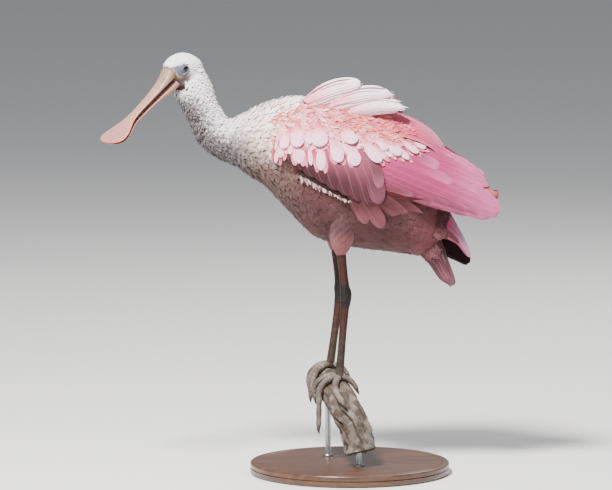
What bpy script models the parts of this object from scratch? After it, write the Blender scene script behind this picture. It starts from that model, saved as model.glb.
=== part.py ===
"""Roseate spoonbill, immature, life size, gripping a cut length of dead branch on a display stand.

Metres, +Z up. The bird faces -X with its left side towards -Y. The origin is the centre of the
base's underside. Every soft part is a loft: a stack of rings whose sizes come from the short
tables below, in millimetres.
"""

from math import cos, pi, radians, sin

import bmesh
import bpy
import numpy as np
from mathutils import Vector

MM = 0.001
GAP = 0.35 * MM

# Where the bird stands, in millimetres.
MID_Y = 16.0

# Head and bill. The bill frame starts midway between the gape corners, at the tomium.
HEAD_YAW = 42.0
BILL_PITCH = 36.5
GAPE_CENTRE = (-247.5, 2.0, 556.0)
BILL_LENGTH = 144.5
SPOON_WIDTH = 51.0
EYE_PLACE = (-12.8, 16.8, 7.1)
EYE_RADIUS = 5.2

# Display stand.
BASE_RADIUS = 140.0
BASE_HEIGHT = 16.0
BASE_BEVEL = 2.5
ROD_RADIUS = 4.0
ROD_STEPS = {"stand_rod_rear": 0.8, "stand_rod_front": 4.75}
BRANCH_RADIUS = 23.0

# Trunk and neck: dorsal x and z, ventral x and z, half width. From the nape to the tail root.
BODY_STATIONS = (
    (-204, 563, -245, 531, 20.0),
    (-195, 545, -237, 518, 20.5),
    (-188, 523, -229, 502, 20.5),
    (-179, 507, -221, 485, 21.0),
    (-171, 497, -211, 464, 22.5),
    (-162, 498, -188, 445, 26.0),
    (-150, 504, -162, 433, 33.0),
    (-132, 511, -139, 417, 42.0),
    (-109, 520, -115, 401, 54.0),
    (-80, 526, -82, 366, 64.0),
    (-45, 523, -48, 334, 70.0),
    (-3, 510, -6, 321, 72.0),
    (39, 488, 34, 315, 67.0),
    (75, 455, 73, 310, 55.0),
    (102, 417, 101, 307, 40.0),
    (119, 385, 120, 316, 25.0),
    (128, 366, 129, 334, 11.0),
)
NECK_SPLIT = 3.5
BREAST_SPLIT = 7.0
PARTING = 0.03

# Skull, in the bill frame: forward, top, bottom, half width.
SKULL_STATIONS = (
    (2.0, 20.5, -11.0, 12.5),
    (-4.0, 23.5, -14.0, 15.0),
    (-12.0, 24.0, -17.0, 17.5),
    (-20.0, 22.8, -20.0, 19.2),
    (-29.0, 19.5, -23.0, 19.6),
    (-37.0, 14.0, -24.0, 17.8),
    (-43.0, 6.5, -23.0, 14.0),
    (-47.0, -3.0, -18.0, 7.5),
)

# Upper bill, in the bill frame: share of the length, top, bottom, share of the spoon's half width.
UPPER_BILL_STATIONS = (
    (0.02, 20.0, 0.3, 0.49),
    (0.12, 13.5, 0.8, 0.44),
    (0.26, 9.0, 1.6, 0.38),
    (0.40, 7.2, 1.9, 0.34),
    (0.55, 6.2, 1.8, 0.34),
    (0.66, 5.4, 1.4, 0.43),
    (0.76, 4.6, 1.0, 0.68),
    (0.85, 4.2, 0.8, 0.93),
    (0.915, 4.0, 0.8, 1.00),
    (0.96, 3.6, 0.8, 0.88),
    (0.99, 3.0, 0.8, 0.54),
    (1.00, 2.2, 0.9, 0.20),
)
LOWER_BILL_STATIONS = (
    (0.02, -0.6, -13.0, 0.46),
    (0.12, -1.0, -13.0, 0.42),
    (0.26, -1.8, -8.5, 0.35),
    (0.40, -2.2, -6.4, 0.31),
    (0.55, -2.0, -5.4, 0.31),
    (0.66, -1.4, -4.6, 0.40),
    (0.76, -0.8, -3.5, 0.65),
    (0.85, -0.5, -2.8, 0.90),
    (0.915, -0.4, -2.5, 0.96),
    (0.96, -0.4, -2.4, 0.84),
    (0.985, -0.5, -2.4, 0.52),
    (0.993, -0.7, -2.0, 0.18),
)

# Folded wing, from wrist to tip: x, upper edge out and z, lower edge out and z, bulge, thickness.
# "Out" is the distance from the bird's middle plane.
WING_STATIONS = (
    (-112, 44, 474, 50, 450, 6.0, 7.0),
    (-98, 40, 500, 60, 432, 14.0, 12.0),
    (-72, 36, 515, 66, 412, 20.0, 14.0),
    (-38, 33, 520, 70, 394, 24.0, 15.0),
    (0, 30, 516, 74, 384, 25.0, 15.0),
    (36, 27, 505, 74, 388, 24.0, 14.0),
    (72, 23, 490, 66, 391, 19.0, 12.0),
    (108, 19, 471, 54, 387, 13.0, 10.0),
    (143, 17, 451, 43, 377, 8.0, 8.0),
    (176, 17, 430, 33, 367, 5.0, 6.0),
    (199, 19, 400, 26, 361, 3.0, 4.5),
    (209.5, 21, 379, 23, 366, 1.5, 3.0),
)
# The far wing's tip, which shows above the near one, in place of the last three rows.
FAR_WING_TIP = (
    (176, 17, 424, 33, 376, 5.0, 6.0),
    (199, 19, 399, 26, 379, 3.0, 4.5),
    (210, 21, 395, 23, 386, 1.5, 3.0),
)
COVERT_SPLIT = 5.4
# How thick wing and tail sheets are at their edges.
SHEET_EDGE = 1.6

# Lifted scapulars, one row each: root x, out, z; tip x, out, z; width; how far it bows up.
SCAPULARS = (
    (-70, 20, 517, 20, 26, 548, 34.0, 12.0),
    (-40, 22, 511, 64, 24, 533, 36.0, 13.0),
    (-10, 26, 503, 80, 32, 513, 26.0, 12.0),
)
SCAPULAR_THICKNESS = 4.0
FAR_SCAPULAR_DROP = 8.0

# Tertials, a dome over the rump: x, upper z, half width, depth of the sheet.
TERTIAL_STATIONS = (
    (6, 512, 40, 9.0),
    (34, 510, 42, 10.0),
    (62, 504, 41, 10.0),
    (90, 493, 37, 9.0),
    (112, 478, 31, 8.0),
    (126, 460, 22, 6.0),
    (131, 450, 10, 4.0),
)

# Tail from root to tip: upper edge x, z; lower edge x, z; upper and lower distance out; thickness.
# The two halves droop like a tent. The near half hides most of the far one, which hangs lower.
TAIL_NEAR_HALF = (
    (113, 401, 105, 353, 3, 22, 5.0),
    (133, 376, 124, 338, 3, 24, 4.5),
    (143, 360, 139, 331, 3, 20, 4.0),
    (158, 334, 152, 322, 2, 12, 3.5),
    (167, 313, 162, 309, 2, 6, 3.0),
    (169, 304, 167, 302, 2, 4, 2.5),
)
TAIL_FAR_HALF = (
    (112, 400, 100, 334, 2, 28, 5.0),
    (132, 374, 126, 314, 2, 28, 4.5),
    (142, 358, 137, 303, 2, 24, 4.0),
    (157, 332, 150, 297, 2, 17, 3.5),
    (166, 311, 161, 292, 2, 9, 3.0),
    (170, 297, 168, 290, 2, 5, 2.5),
)
TAIL_ARCH = 0.8
UNDERTAIL = (
    (118, 350, 84, 325, 4, 8, 28.0),
    (130, 318, 103, 305, 6, 10, 22.0),
    (137, 300, 114, 292, 8, 12, 16.0),
    (143, 284, 126, 275, 10, 13, 11.0),
    (147, 271, 139, 266, 12, 13, 7.0),
    (146, 263, 143, 261, 12, 13, 4.0),
)

# One leg's line from the feathered thigh down to the ankle: x, distance out, z.
LEGS = {
    "left": {"hip": (-8, 34, 372), "cuff": (-13, 29, 316), "ankle": (-6, 25, 251)},
    "right": {"hip": (-12, -34, 372), "cuff": (-20, -31, 316), "ankle": (-13, -27, 252)},
}
THIGH_RADIUS = 30.0
CUFF_RADIUS = 9.5
SHIN_RADIUS = 6.3
ANKLE_RADIUS = 9.4
ANKLE_REACH = 15.5
# Gaps between the lengths of a leg, wide enough that their slanted ends stay apart.
CUFF_GAP = 2.2
ANKLE_TOP_GAP = 0.5
ANKLE_BASE_GAP = 2.0
TARSUS_RADIUS = 5.4
FOOT_HEIGHT = 7.0
TOE_RADIUS = 4.4
# A toe's middle line lies this share of its radius above the wood, as its sole is pressed flat.
TOE_REST = 0.9
CLAW_LENGTH = 9.0
CLAW_RADII = (2.3, 1.7, 0.5)

# Branch axis from its upper, rear end to its cut lower end.
BRANCH_LINE = (
    (-35, 66, 128),
    (-29, 38, 124),
    (-20, 2, 115.5),
    (-8, -28, 97),
    (6, -44, 69),
    (14, -50, 37),
)

# Toes over the branch. Each point is a row number of the branch line and an angle, in degrees,
# from the top of the branch towards the bird's front. The last number is the free length that
# hangs straight down from the last point.
TOES = {
    "left": {
        "middle": (((2.16, 0), (2.14, 35), (2.16, 70), (2.24, 98)), 42.0),
        "inner": (((2.14, 0), (1.96, 35), (1.80, 72), (1.74, 105)), 6.0),
        "outer": (((2.16, 0), (2.45, 22), (2.80, 34), (3.20, 40)), 0.0),
        "hind": (((2.16, 0), (2.26, -28), (2.42, -62)), 0.0),
    },
    "right": {
        "middle": (((1.08, 0), (1.04, 35), (1.02, 70), (1.04, 98)), 16.0),
        "inner": (((1.08, 0), (1.22, 35), (1.36, 72), (1.40, 105)), 4.0),
        "outer": (((1.08, 0), (0.88, 30), (0.70, 64), (0.62, 96)), 4.0),
        "hind": (((1.08, 0), (1.16, -28), (1.26, -62)), 0.0),
    },
}


def material(name, colour, roughness, metallic=0.0):
    """A Principled material of one colour."""
    made = bpy.data.materials.new(name)
    made.use_nodes = True
    shader = made.node_tree.nodes["Principled BSDF"]
    shader.inputs["Base Color"].default_value = (*colour, 1.0)
    shader.inputs["Roughness"].default_value = roughness
    shader.inputs["Metallic"].default_value = metallic
    made.diffuse_color = (*colour, 1.0)
    return made


def along(rows, steps):
    """Catmull-Rom curve through the rows of a table, read at row numbers steps."""
    table = np.asarray(rows, float)
    last = len(table) - 1
    padded = np.vstack([2 * table[0] - table[1], table, 2 * table[-1] - table[-2]])
    steps = np.clip(np.asarray(steps, float), 0, last)
    start = np.minimum(steps.astype(int), last - 1)
    share = (steps - start)[:, None]
    before, here, after, beyond = (padded[start + k] for k in range(4))
    return 0.5 * (
        2 * here
        + (after - before) * share
        + (2 * before - 5 * here + 4 * after - beyond) * share**2
        + (3 * here - before - 3 * after + beyond) * share**3
    )


def unit(vectors):
    """Rows scaled to length one."""
    return vectors / np.linalg.norm(vectors, axis=1)[:, None]


def closed_solid(name, rings, finish, crescent=False):
    """Joins a stack of rings, in millimetres, into one closed solid.

    The ends are closed by a fan from their middle, or, where the rings are crescents of an outer
    arc and an inner arc, by a strip between the two arcs.
    """
    rings = np.asarray(rings, float)
    count, around = rings.shape[:2]
    shape = bmesh.new()
    corners = [shape.verts.new(p) for p in rings.reshape(-1, 3) * MM]
    for row in range(count - 1):
        here, following = row * around, (row + 1) * around
        for k in range(around):
            beside = (k + 1) % around
            shape.faces.new(
                [corners[n] for n in (here + k, here + beside, following + beside, following + k)]
            )
    for end in (0, (count - 1) * around):
        if crescent:
            for k in range(around // 2 - 1):
                across = around - 1 - k
                pairs = (k, k + 1, across - 1, across) if k + 1 < across - 1 else (k, k + 1, across)
                shape.faces.new([corners[end + n] for n in pairs])
        else:
            middle = shape.verts.new(rings[end // around].mean(0) * MM)
            for k in range(around):
                shape.faces.new((corners[end + k], corners[end + (k + 1) % around], middle))
    bmesh.ops.recalc_face_normals(shape, faces=shape.faces[:])
    return finished(name, shape, finish)


def finished(name, shape, finish):
    """Turns a bmesh into an object with its material, shaded smooth over its gentle edges."""
    mesh = bpy.data.meshes.new(name)
    shape.to_mesh(mesh)
    shape.free()
    mesh.materials.append(finish)
    mesh.shade_smooth()
    mesh.set_sharp_from_angle(angle=radians(50))
    made = bpy.data.objects.new(name, mesh)
    bpy.context.scene.collection.objects.link(made)
    return made


def oval_rings(centres, ups, sides, around):
    """One oval per row: centre + up * cos + side * sin, for angles all the way round."""
    angle = np.arange(around) * 2 * pi / around
    return (
        centres[:, None]
        + ups[:, None] * np.cos(angle)[None, :, None]
        + sides[:, None] * np.sin(angle)[None, :, None]
    )


def swept_rings(path, radii, around, flatness=1.0):
    """Round rings square to a path. The first side axis is kept level as far as it goes."""
    path, radii = np.asarray(path, float), np.asarray(radii, float)
    heading = unit(np.gradient(path, axis=0))
    level = unit(np.cross(heading, (0.0, 1.0, 0.0)))
    other = np.cross(heading, level)
    return oval_rings(path, level * radii[:, None], other * radii[:, None] * flatness, around)


def rounded_off(share, end_size):
    """Size that stays near 1 and rounds off to end_size where the share of the length is 1."""
    return end_size + (1 - end_size) * np.sqrt(np.clip(1 - share**3, 0, 1))


def cut_away(piece, neighbours):
    """Cuts inflated copies of the neighbours out of a piece, so that it meets them with a gap."""
    for neighbour in neighbours:
        cutter = neighbour.copy()
        cutter.data = neighbour.data.copy()
        cutter.name = f"cutter_{piece.name}_{neighbour.name}"
        bpy.context.scene.collection.objects.link(cutter)
        cutter.hide_render = True
        cutter.display_type = "WIRE"
        shape = bmesh.new()
        graph = bpy.context.evaluated_depsgraph_get()
        shape.from_object(neighbour, graph)
        shape.normal_update()
        for corner in shape.verts:
            corner.co += corner.normal * GAP
        shape.to_mesh(cutter.data)
        shape.free()
        cutter.modifiers.clear()
        cut = piece.modifiers.new(f"room_for_{neighbour.name}", "BOOLEAN")
        cut.operation = "DIFFERENCE"
        cut.solver = "EXACT"
        cut.object = cutter


def joined(piece, others):
    """Adds other solids to a piece with Boolean unions and hides them."""
    for other in others:
        other.hide_render = True
        other.display_type = "WIRE"
        union = piece.modifiers.new(f"with_{other.name}", "BOOLEAN")
        union.operation = "UNION"
        union.solver = "EXACT"
        union.object = other


def bill_axes():
    """Forward, left and up unit vectors of the bill frame."""
    yaw, pitch = radians(HEAD_YAW), radians(BILL_PITCH)
    forward = np.array((-cos(pitch) * cos(yaw), -cos(pitch) * sin(yaw), -sin(pitch)))
    left = np.array((sin(yaw), -cos(yaw), 0.0))
    return forward, left, np.cross(forward, left)


def head_rings(stations, around):
    """Ovals of the bill frame, from rows of forward, top, bottom, half width."""
    rows = np.asarray(stations, float)
    forward, left, up = bill_axes()
    middles = rows[:, 0, None] * forward + (rows[:, 1] + rows[:, 2])[:, None] / 2 * up
    ups = (rows[:, 1] - rows[:, 2])[:, None] / 2 * up
    return oval_rings(np.array(GAPE_CENTRE) + middles, ups, rows[:, 3, None] * left, around)


def half_bill(name, stations, horn):
    """One half of the bill, from shares of its length and of the spoon's half width."""
    rows = along(stations, np.linspace(0, len(stations) - 1, 18))
    rows[:, 0] *= BILL_LENGTH
    rows[:, 3] *= SPOON_WIDTH / 2
    return closed_solid(name, head_rings(rows, 12), horn)


def make_head(white, horn, eye_finish):
    """Skull with eye sockets, the two halves of the bill and the eyes."""
    skull_rows = along(SKULL_STATIONS, np.linspace(0, len(SKULL_STATIONS) - 1, 11))
    skull = closed_solid("head", head_rings(skull_rows, 16), white)
    upper = half_bill("bill_upper", UPPER_BILL_STATIONS, horn)
    lower = half_bill("bill_lower", LOWER_BILL_STATIONS, horn)
    forward, out, up = EYE_PLACE
    for side, sign in (("left", 1), ("right", -1)):
        centre = np.array(GAPE_CENTRE) + np.array((forward, sign * out, up)) @ np.array(bill_axes())
        ball = bmesh.new()
        bmesh.ops.create_uvsphere(ball, u_segments=10, v_segments=7, radius=EYE_RADIUS * MM)
        bmesh.ops.translate(ball, verts=ball.verts, vec=Vector(centre * MM))
        cut_away(skull, (finished(f"eye_{side}", ball, eye_finish),))
    cut_away(skull, (upper, lower))
    return skull, upper, lower


def body_rings(first, last, count, around):
    """Ovals of the neck and trunk between two station numbers."""
    rows = along(BODY_STATIONS, np.linspace(first, last, count))
    dorsal = np.stack([rows[:, 0], np.full(count, MID_Y), rows[:, 1]], 1)
    ventral = np.stack([rows[:, 2], np.full(count, MID_Y), rows[:, 3]], 1)
    side = np.stack([np.zeros(count), rows[:, 4], np.zeros(count)], 1)
    return oval_rings((dorsal + ventral) / 2, (dorsal - ventral) / 2, side, around)


def make_body(white, pink, head_parts):
    """Neck in two lengths and the trunk, parted by thin gaps across one loft."""
    upper = closed_solid("neck_upper", body_rings(0.0, NECK_SPLIT, 8, 14), white)
    cut_away(upper, head_parts)
    closed_solid("neck_lower", body_rings(NECK_SPLIT + PARTING, BREAST_SPLIT, 8, 16), white)
    return closed_solid(
        "trunk", body_rings(BREAST_SPLIT + PARTING, len(BODY_STATIONS) - 1, 15, 22), pink
    )


def sheet_rings(upper, lower, bulges, thicknesses, around, side):
    """Crescent rings of a curved sheet, from its upper edge to its lower edge and back inside.

    The outer arc leaves the straight line between the edges by a half sine times the bulge, away
    from the middle plane; the inner arc bulges less by the thickness. Edge points are x, distance
    out and z. side is 1 for the bird's left and -1 for its right.
    """
    share = np.linspace(0, 1, around // 2 + 1)[None, :, None]
    line = upper[:, None] + (lower - upper)[:, None] * share
    swell = np.sin(pi * share[..., 0])
    outer, inner = line.copy(), line.copy()
    outer[..., 1] += bulges[:, None] * swell + SHEET_EDGE / 2
    inner[..., 1] += (bulges - thicknesses)[:, None] * swell - SHEET_EDGE / 2
    rings = np.concatenate([outer, inner[:, ::-1]], 1)
    rings[..., 1] = MID_Y - side * rings[..., 1]
    return rings


def wing_rings(side, first, last, count):
    """Rings of a folded wing between two station numbers."""
    table = WING_STATIONS if side > 0 else WING_STATIONS[: -len(FAR_WING_TIP)] + FAR_WING_TIP
    rows = along(table, np.linspace(first, last, count))
    return sheet_rings(rows[:, :3], rows[:, [0, 3, 4]], rows[:, 5], rows[:, 6], 14, side)


def make_wings(pink, trunk):
    """Each folded wing as its covert part and its flight feathers."""
    wings = []
    for side, sign in (("left", 1), ("right", -1)):
        coverts = wing_rings(sign, 0, COVERT_SPLIT, 9)
        flight = wing_rings(sign, COVERT_SPLIT + PARTING, len(WING_STATIONS) - 1, 9)
        wings.append(closed_solid(f"wing_{side}_coverts", coverts, pink, crescent=True))
        wings.append(closed_solid(f"wing_{side}_flight", flight, pink, crescent=True))
    for wing in wings:
        cut_away(wing, (trunk,))
    return wings


def make_tertials(pink, under):
    """The dome of long tertials over the rump, cut to lie over what is under it."""
    rows = along(TERTIAL_STATIONS, np.linspace(0, len(TERTIAL_STATIONS) - 1, 8))
    share = np.linspace(-1, 1, 8)[None, :]
    x, top, half_width, depth = (rows[:, k, None] for k in range(4))
    drop = 0.55 * half_width * share**2
    outer = np.stack([x + 0 * share, MID_Y + half_width * share, top - drop], 2)
    inner = outer.copy()
    inner[..., 0] -= 2
    inner[..., 2] -= 1 + depth * (1 - 0.85 * share**2)
    rings = np.concatenate([outer, inner[:, ::-1]], 1)
    tertials = closed_solid("tertials", rings, pink, crescent=True)
    cut_away(tertials, under)
    return tertials


def lifted_blade(root, tip, width, bow, lean):
    """Rings of a flat, round-tipped blade that bows upwards and leans outwards."""
    share = np.linspace(0, 1, 6)
    line = root + (tip - root) * share[:, None]
    line[:, 2] += bow * np.sin(pi * share)
    heading = unit(np.gradient(line, axis=0))
    level = np.array((0.0, 1.0, lean))
    across = unit(level - heading * (heading @ level)[:, None])
    through = np.cross(heading, across)
    half_width = width / 2 * (1 - 0.2 * share) * rounded_off(share, 0.25)
    half_depth = SCAPULAR_THICKNESS / 2 * (1 - 0.6 * share)
    return oval_rings(line, across * half_width[:, None], through * half_depth[:, None], 8)


def make_scapulars(pink, under):
    """The lifted scapulars of each side, each row cut to lie clear of the one before."""
    blades = []
    for side, sign in (("left", -1), ("right", 1)):
        drop = FAR_SCAPULAR_DROP if side == "right" else 0.0
        for number, (x0, out0, z0, x1, out1, z1, width, bow) in enumerate(SCAPULARS, 1):
            root = np.array((x0, MID_Y + sign * out0, z0 - drop))
            tip = np.array((x1, MID_Y + sign * out1, z1 - drop))
            rings = lifted_blade(root, tip, width, bow, 0.35 * sign)
            blade = closed_solid(f"scapulars_{side}_row_{number}", rings, pink)
            cut_away(blade, (*under, *blades))
            blades.append(blade)


def make_tail(pink, around_it):
    """The two drooping halves of the tail and the long undertail coverts."""
    made = []
    for name, table, side in (
        ("tail_near_half", TAIL_NEAR_HALF, 1),
        ("tail_far_half", TAIL_FAR_HALF, -1),
        ("undertail", UNDERTAIL, 1),
    ):
        rows = along(table, np.linspace(0, len(table) - 1, 7))
        bulges = rows[:, 6] / 2 if name == "undertail" else rows[:, 6] + TAIL_ARCH
        rings = sheet_rings(rows[:, [0, 4, 1]], rows[:, [2, 5, 3]], bulges, rows[:, 6], 14, side)
        sheet = closed_solid(name, rings, pink, crescent=True)
        cut_away(sheet, (*around_it, *made))
        made.append(sheet)


def leg_points(side):
    """The hip, cuff, ankle and foot of a leg in the world, in millimetres."""
    joints = [np.array((x, MID_Y - out, z), float) for x, out, z in LEGS[side].values()]
    return *joints, toe_path(TOES[side]["middle"][0], 0)[0]


def straight(start, end, shares):
    """Points on a straight line at shares of its length."""
    return start + (end - start) * np.asarray(shares, float)[:, None]


def branch_frame(steps):
    """Centre, and the unit axes to the bird's front and up, at row numbers of the branch line."""
    steps = np.asarray(steps, float)
    line = along(BRANCH_LINE, steps)
    heading = unit(along(BRANCH_LINE, steps + 0.05) - along(BRANCH_LINE, steps - 0.05))
    front = unit(np.cross(heading, (0.0, 0.0, 1.0)))
    return line, front, np.cross(front, heading)


def make_branch(wood):
    """A weathered branch: rings whose radius wavers with a few sines round and along it."""
    steps = np.linspace(0, len(BRANCH_LINE) - 1, 15)
    line, front, up = branch_frame(steps)
    angle = (np.arange(16) * 2 * pi / 16)[None, :]
    share = np.linspace(0, 1, len(steps))[:, None]
    waver = 0.97 + 0.02 * np.sin(3 * angle + 4 * share) + 0.015 * np.sin(5 * angle - 9 * share)
    radius = (BRANCH_RADIUS * waver)[..., None]
    spokes = np.cos(angle)[..., None] * up[:, None] + np.sin(angle)[..., None] * front[:, None]
    return closed_solid("perch_branch", line[:, None] + radius * spokes, wood)


def toe_path(points, hanging):
    """A toe's line over the branch, one toe radius above the wood, then straight down."""
    table = np.asarray(points, float)
    rows = along(table, np.linspace(0, len(table) - 1, 6))
    line, front, up = branch_frame(rows[:, 0])
    angle = np.radians(rows[:, 1])[:, None]
    path = line + (np.cos(angle) * up + np.sin(angle) * front) * (BRANCH_RADIUS + TOE_RADIUS * TOE_REST)
    if hanging:
        drops = np.linspace(0, hanging, 2 + int(hanging / 20))[1:, None]
        path = np.vstack([path, path[-1] + drops * (-0.02, 0.0, -1.0)])
    return path


def make_foot(side, leg_skin, claw_horn, branch):
    """Four toes joined under the leg's end, shaped to the branch, and a claw beyond each toe."""
    *_, ankle, centre = leg_points(side)
    up = unit((ankle - centre)[None])[0]
    heel = straight(centre - up * 1.5, centre + up * (FOOT_HEIGHT - GAP / MM), (0.0, 0.4, 1.0))
    heel_radii = np.array((0.95, 1.15, 1.15)) * TARSUS_RADIUS
    foot = closed_solid(f"foot_{side}", swept_rings(heel, heel_radii, 10), leg_skin)
    toes, claws = [], []
    for digit, (points, hanging) in TOES[side].items():
        path = toe_path(points, hanging)
        share = np.linspace(0, 1, len(path))
        radii = TOE_RADIUS * (1.0 - 0.18 * share) * rounded_off(share, 0.62)
        rings = swept_rings(path, radii, 7)
        toes.append(closed_solid(f"foot_{side}_{digit}_toe", rings, leg_skin))
        ahead = unit(path[-1:] - path[-2:-1])[0]
        curl = ahead * 0.8 + np.array((0.25, 0.0, -0.5))
        middle = path[-1] + ahead * CLAW_LENGTH / 2
        claw_line = [path[-1] + ahead * 2 * GAP / MM, middle, middle + curl * CLAW_LENGTH / 2]
        rings = swept_rings(claw_line, CLAW_RADII, 6)
        claws.append(closed_solid(f"claw_{side}_{digit}", rings, claw_horn))
    joined(foot, toes)
    cut_away(foot, (branch,))
    for claw in claws:
        cut_away(claw, (branch,))


def make_leg(side, pink, leg_skin, claw_horn, trunk, branch):
    """Feathered thigh, bare shin, ankle and tarsus of a leg, then its foot."""
    hip, cuff, ankle, foot = leg_points(side)
    share = np.linspace(0, 1, 7)
    thigh_radii = THIGH_RADIUS - (THIGH_RADIUS - CUFF_RADIUS) * share**1.3
    thigh = closed_solid(
        f"thigh_{side}", swept_rings(straight(hip, cuff, share), thigh_radii, 14), pink
    )
    cut_away(thigh, (trunk,))

    down = unit((ankle - cuff)[None])[0]
    shin = straight(cuff + down * CUFF_GAP, ankle - down * (ANKLE_REACH + ANKLE_TOP_GAP), (0.0, 0.5, 1.0))
    shin_radii = np.array((1.0, 0.93, 1.0)) * SHIN_RADIUS
    closed_solid(f"shin_{side}", swept_rings(shin, shin_radii, 10), leg_skin)

    reach = down * ANKLE_REACH
    joint = straight(ankle - reach, ankle + reach, (0.0, 0.25, 0.5, 0.75, 1.0))
    joint_radii = np.array((0.70, 0.92, 1.0, 0.88, 0.66)) * ANKLE_RADIUS
    closed_solid(f"ankle_{side}", swept_rings(joint, joint_radii, 12, 0.82), leg_skin)

    make_foot(side, leg_skin, claw_horn, branch)
    up = unit((ankle - foot)[None])[0]
    shank_top = ankle + down * (ANKLE_REACH + ANKLE_BASE_GAP)
    shank = straight(shank_top, foot + up * FOOT_HEIGHT, (0.0, 0.5, 0.9, 1.0))
    shank_radii = np.array((1.12, 1.0, 1.06, 1.12)) * TARSUS_RADIUS
    closed_solid(f"tarsus_{side}", swept_rings(shank, shank_radii, 10, 0.85), leg_skin)


def make_stand(base_finish, steel, branch):
    """Round base with eased edges and the two rods that carry the branch."""
    shape = bmesh.new()
    radius, height = BASE_RADIUS * MM, BASE_HEIGHT * MM
    bmesh.ops.create_cone(
        shape, cap_ends=True, segments=32, radius1=radius, radius2=radius, depth=height
    )
    bmesh.ops.translate(shape, verts=shape.verts, vec=(0, 0, height / 2))
    base = finished("stand_base", shape, base_finish)
    ease = base.modifiers.new("eased_edge", "BEVEL")
    ease.width = BASE_BEVEL * MM
    ease.segments = 1
    ease.limit_method = "ANGLE"
    for name, step in ROD_STEPS.items():
        x, y, top = along(BRANCH_LINE, [step])[0]
        ends = [(x, y, BASE_HEIGHT + GAP / MM), (x, y, top)]
        rod = closed_solid(name, swept_rings(ends, [ROD_RADIUS, ROD_RADIUS], 14), steel)
        cut_away(rod, (branch,))


def build():
    """Clears the scene and makes every part."""
    for old in list(bpy.data.objects):
        bpy.data.objects.remove(old)
    white = material("white_feathers", (0.86, 0.83, 0.80), 0.85)
    pink = material("pink_feathers", (0.86, 0.52, 0.56), 0.8)
    horn = material("bill_horn", (0.66, 0.50, 0.44), 0.45)
    eye_finish = material("eye", (0.05, 0.03, 0.02), 0.08)
    leg_skin = material("leg_skin", (0.22, 0.12, 0.09), 0.6)
    claw_horn = material("claw_horn", (0.12, 0.10, 0.09), 0.5)
    wood = material("weathered_wood", (0.33, 0.28, 0.24), 0.9)
    base_finish = material("stained_base", (0.10, 0.06, 0.04), 0.4)
    steel = material("steel_rod", (0.55, 0.55, 0.56), 0.35, 1.0)

    head_parts = make_head(white, horn, eye_finish)
    trunk = make_body(white, pink, head_parts)
    wings = make_wings(pink, trunk)
    tertials = make_tertials(pink, (trunk, *wings))
    make_scapulars(pink, (trunk, tertials, *wings))
    make_tail(pink, (trunk, *wings))
    branch = make_branch(wood)
    for side in LEGS:
        make_leg(side, pink, leg_skin, claw_horn, trunk, branch)
    make_stand(base_finish, steel, branch)


build()
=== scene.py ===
"""Roseate spoonbill on a cut branch: feathers, bare parts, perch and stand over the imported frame.

Lengths in the tables are millimetres; meshes are put in as metres. Photo places are pixels of the
612 x 490 picture, one pixel being 1.4 mm at the bird.
"""

from math import cos, pi, radians, sin, tau

import bmesh
import bpy
import numpy as np
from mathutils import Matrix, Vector


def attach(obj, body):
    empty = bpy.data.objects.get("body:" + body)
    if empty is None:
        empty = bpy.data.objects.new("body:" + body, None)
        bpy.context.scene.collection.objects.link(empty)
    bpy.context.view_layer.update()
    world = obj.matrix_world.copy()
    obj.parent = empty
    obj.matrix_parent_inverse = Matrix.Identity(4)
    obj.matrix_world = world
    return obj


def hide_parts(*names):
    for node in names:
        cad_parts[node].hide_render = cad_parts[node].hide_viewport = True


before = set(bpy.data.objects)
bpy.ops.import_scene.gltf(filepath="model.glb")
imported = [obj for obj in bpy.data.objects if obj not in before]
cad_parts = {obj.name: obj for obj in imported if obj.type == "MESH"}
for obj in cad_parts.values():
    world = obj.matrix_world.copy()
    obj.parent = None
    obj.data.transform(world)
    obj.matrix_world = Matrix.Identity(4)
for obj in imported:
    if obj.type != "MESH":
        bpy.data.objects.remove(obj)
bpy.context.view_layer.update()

MM = 0.001
MID_Y = 16.0
PIXEL = 1.4
TILT = radians(6.0)
LEFT, RIGHT = 1, -1
SIDES = ((LEFT, "left"), (RIGHT, "right"))
# the photo place that stands for X = 0, and that place's height and depth at the perch
PHOTO_FOOT, FOOT_HEIGHT, FOOT_Y = (350, 373), 142.0, -4.0
PHOTO_WIDTH = 612
# how far the feathers' surfaces lie outside the solids
RAISED = 0.8

# ---------------------------------------------------------------- tables that model.glb's solids were built from

HEAD_YAW = 42.0
BILL_PITCH = 36.5
GAPE_CENTRE = (-247.5, 2.0, 556.0)
BILL_LENGTH = 144.5
SPOON_WIDTH = 51.0
EYE_PLACE = (-12.8, 16.8, 7.1)
EYE_RADIUS = 5.2
LID_RADIUS = 3.7

# upper x, z, lower x, z, half width, from the skull to the tail's root
BODY = (
    (-204, 563, -245, 531, 20), (-195, 545, -237, 518, 20.5), (-188, 523, -229, 502, 20.5),
    (-179, 507, -221, 485, 21), (-171, 497, -211, 464, 22.5), (-162, 498, -188, 445, 26),
    (-150, 504, -162, 433, 33), (-132, 511, -139, 417, 42), (-109, 520, -115, 401, 54),
    (-80, 526, -82, 366, 64), (-45, 523, -48, 334, 70), (-3, 510, -6, 321, 72), (39, 488, 34, 315, 67),
    (75, 455, 73, 310, 55), (102, 417, 101, 307, 40), (119, 385, 120, 316, 25),
    (128, 366, 129, 334, 11),
)
# a ring inside the skull, from which the neck's loft starts
NECK_ROOT = (-213, 579, -247, 546, 18)
# forward, top, bottom, half width, from the bill's base backwards
SKULL = (
    (2, 20.5, -11, 12.5), (-4, 23.5, -14, 15), (-12, 24, -17, 17.5), (-20, 22.8, -20, 19.2),
    (-29, 19.5, -23, 19.6), (-37, 14, -24, 17.8), (-43, 6.5, -23, 14), (-47, -3, -18, 7.5),
    (-48.5, -8.5, -12.5, 2),
)
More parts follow.
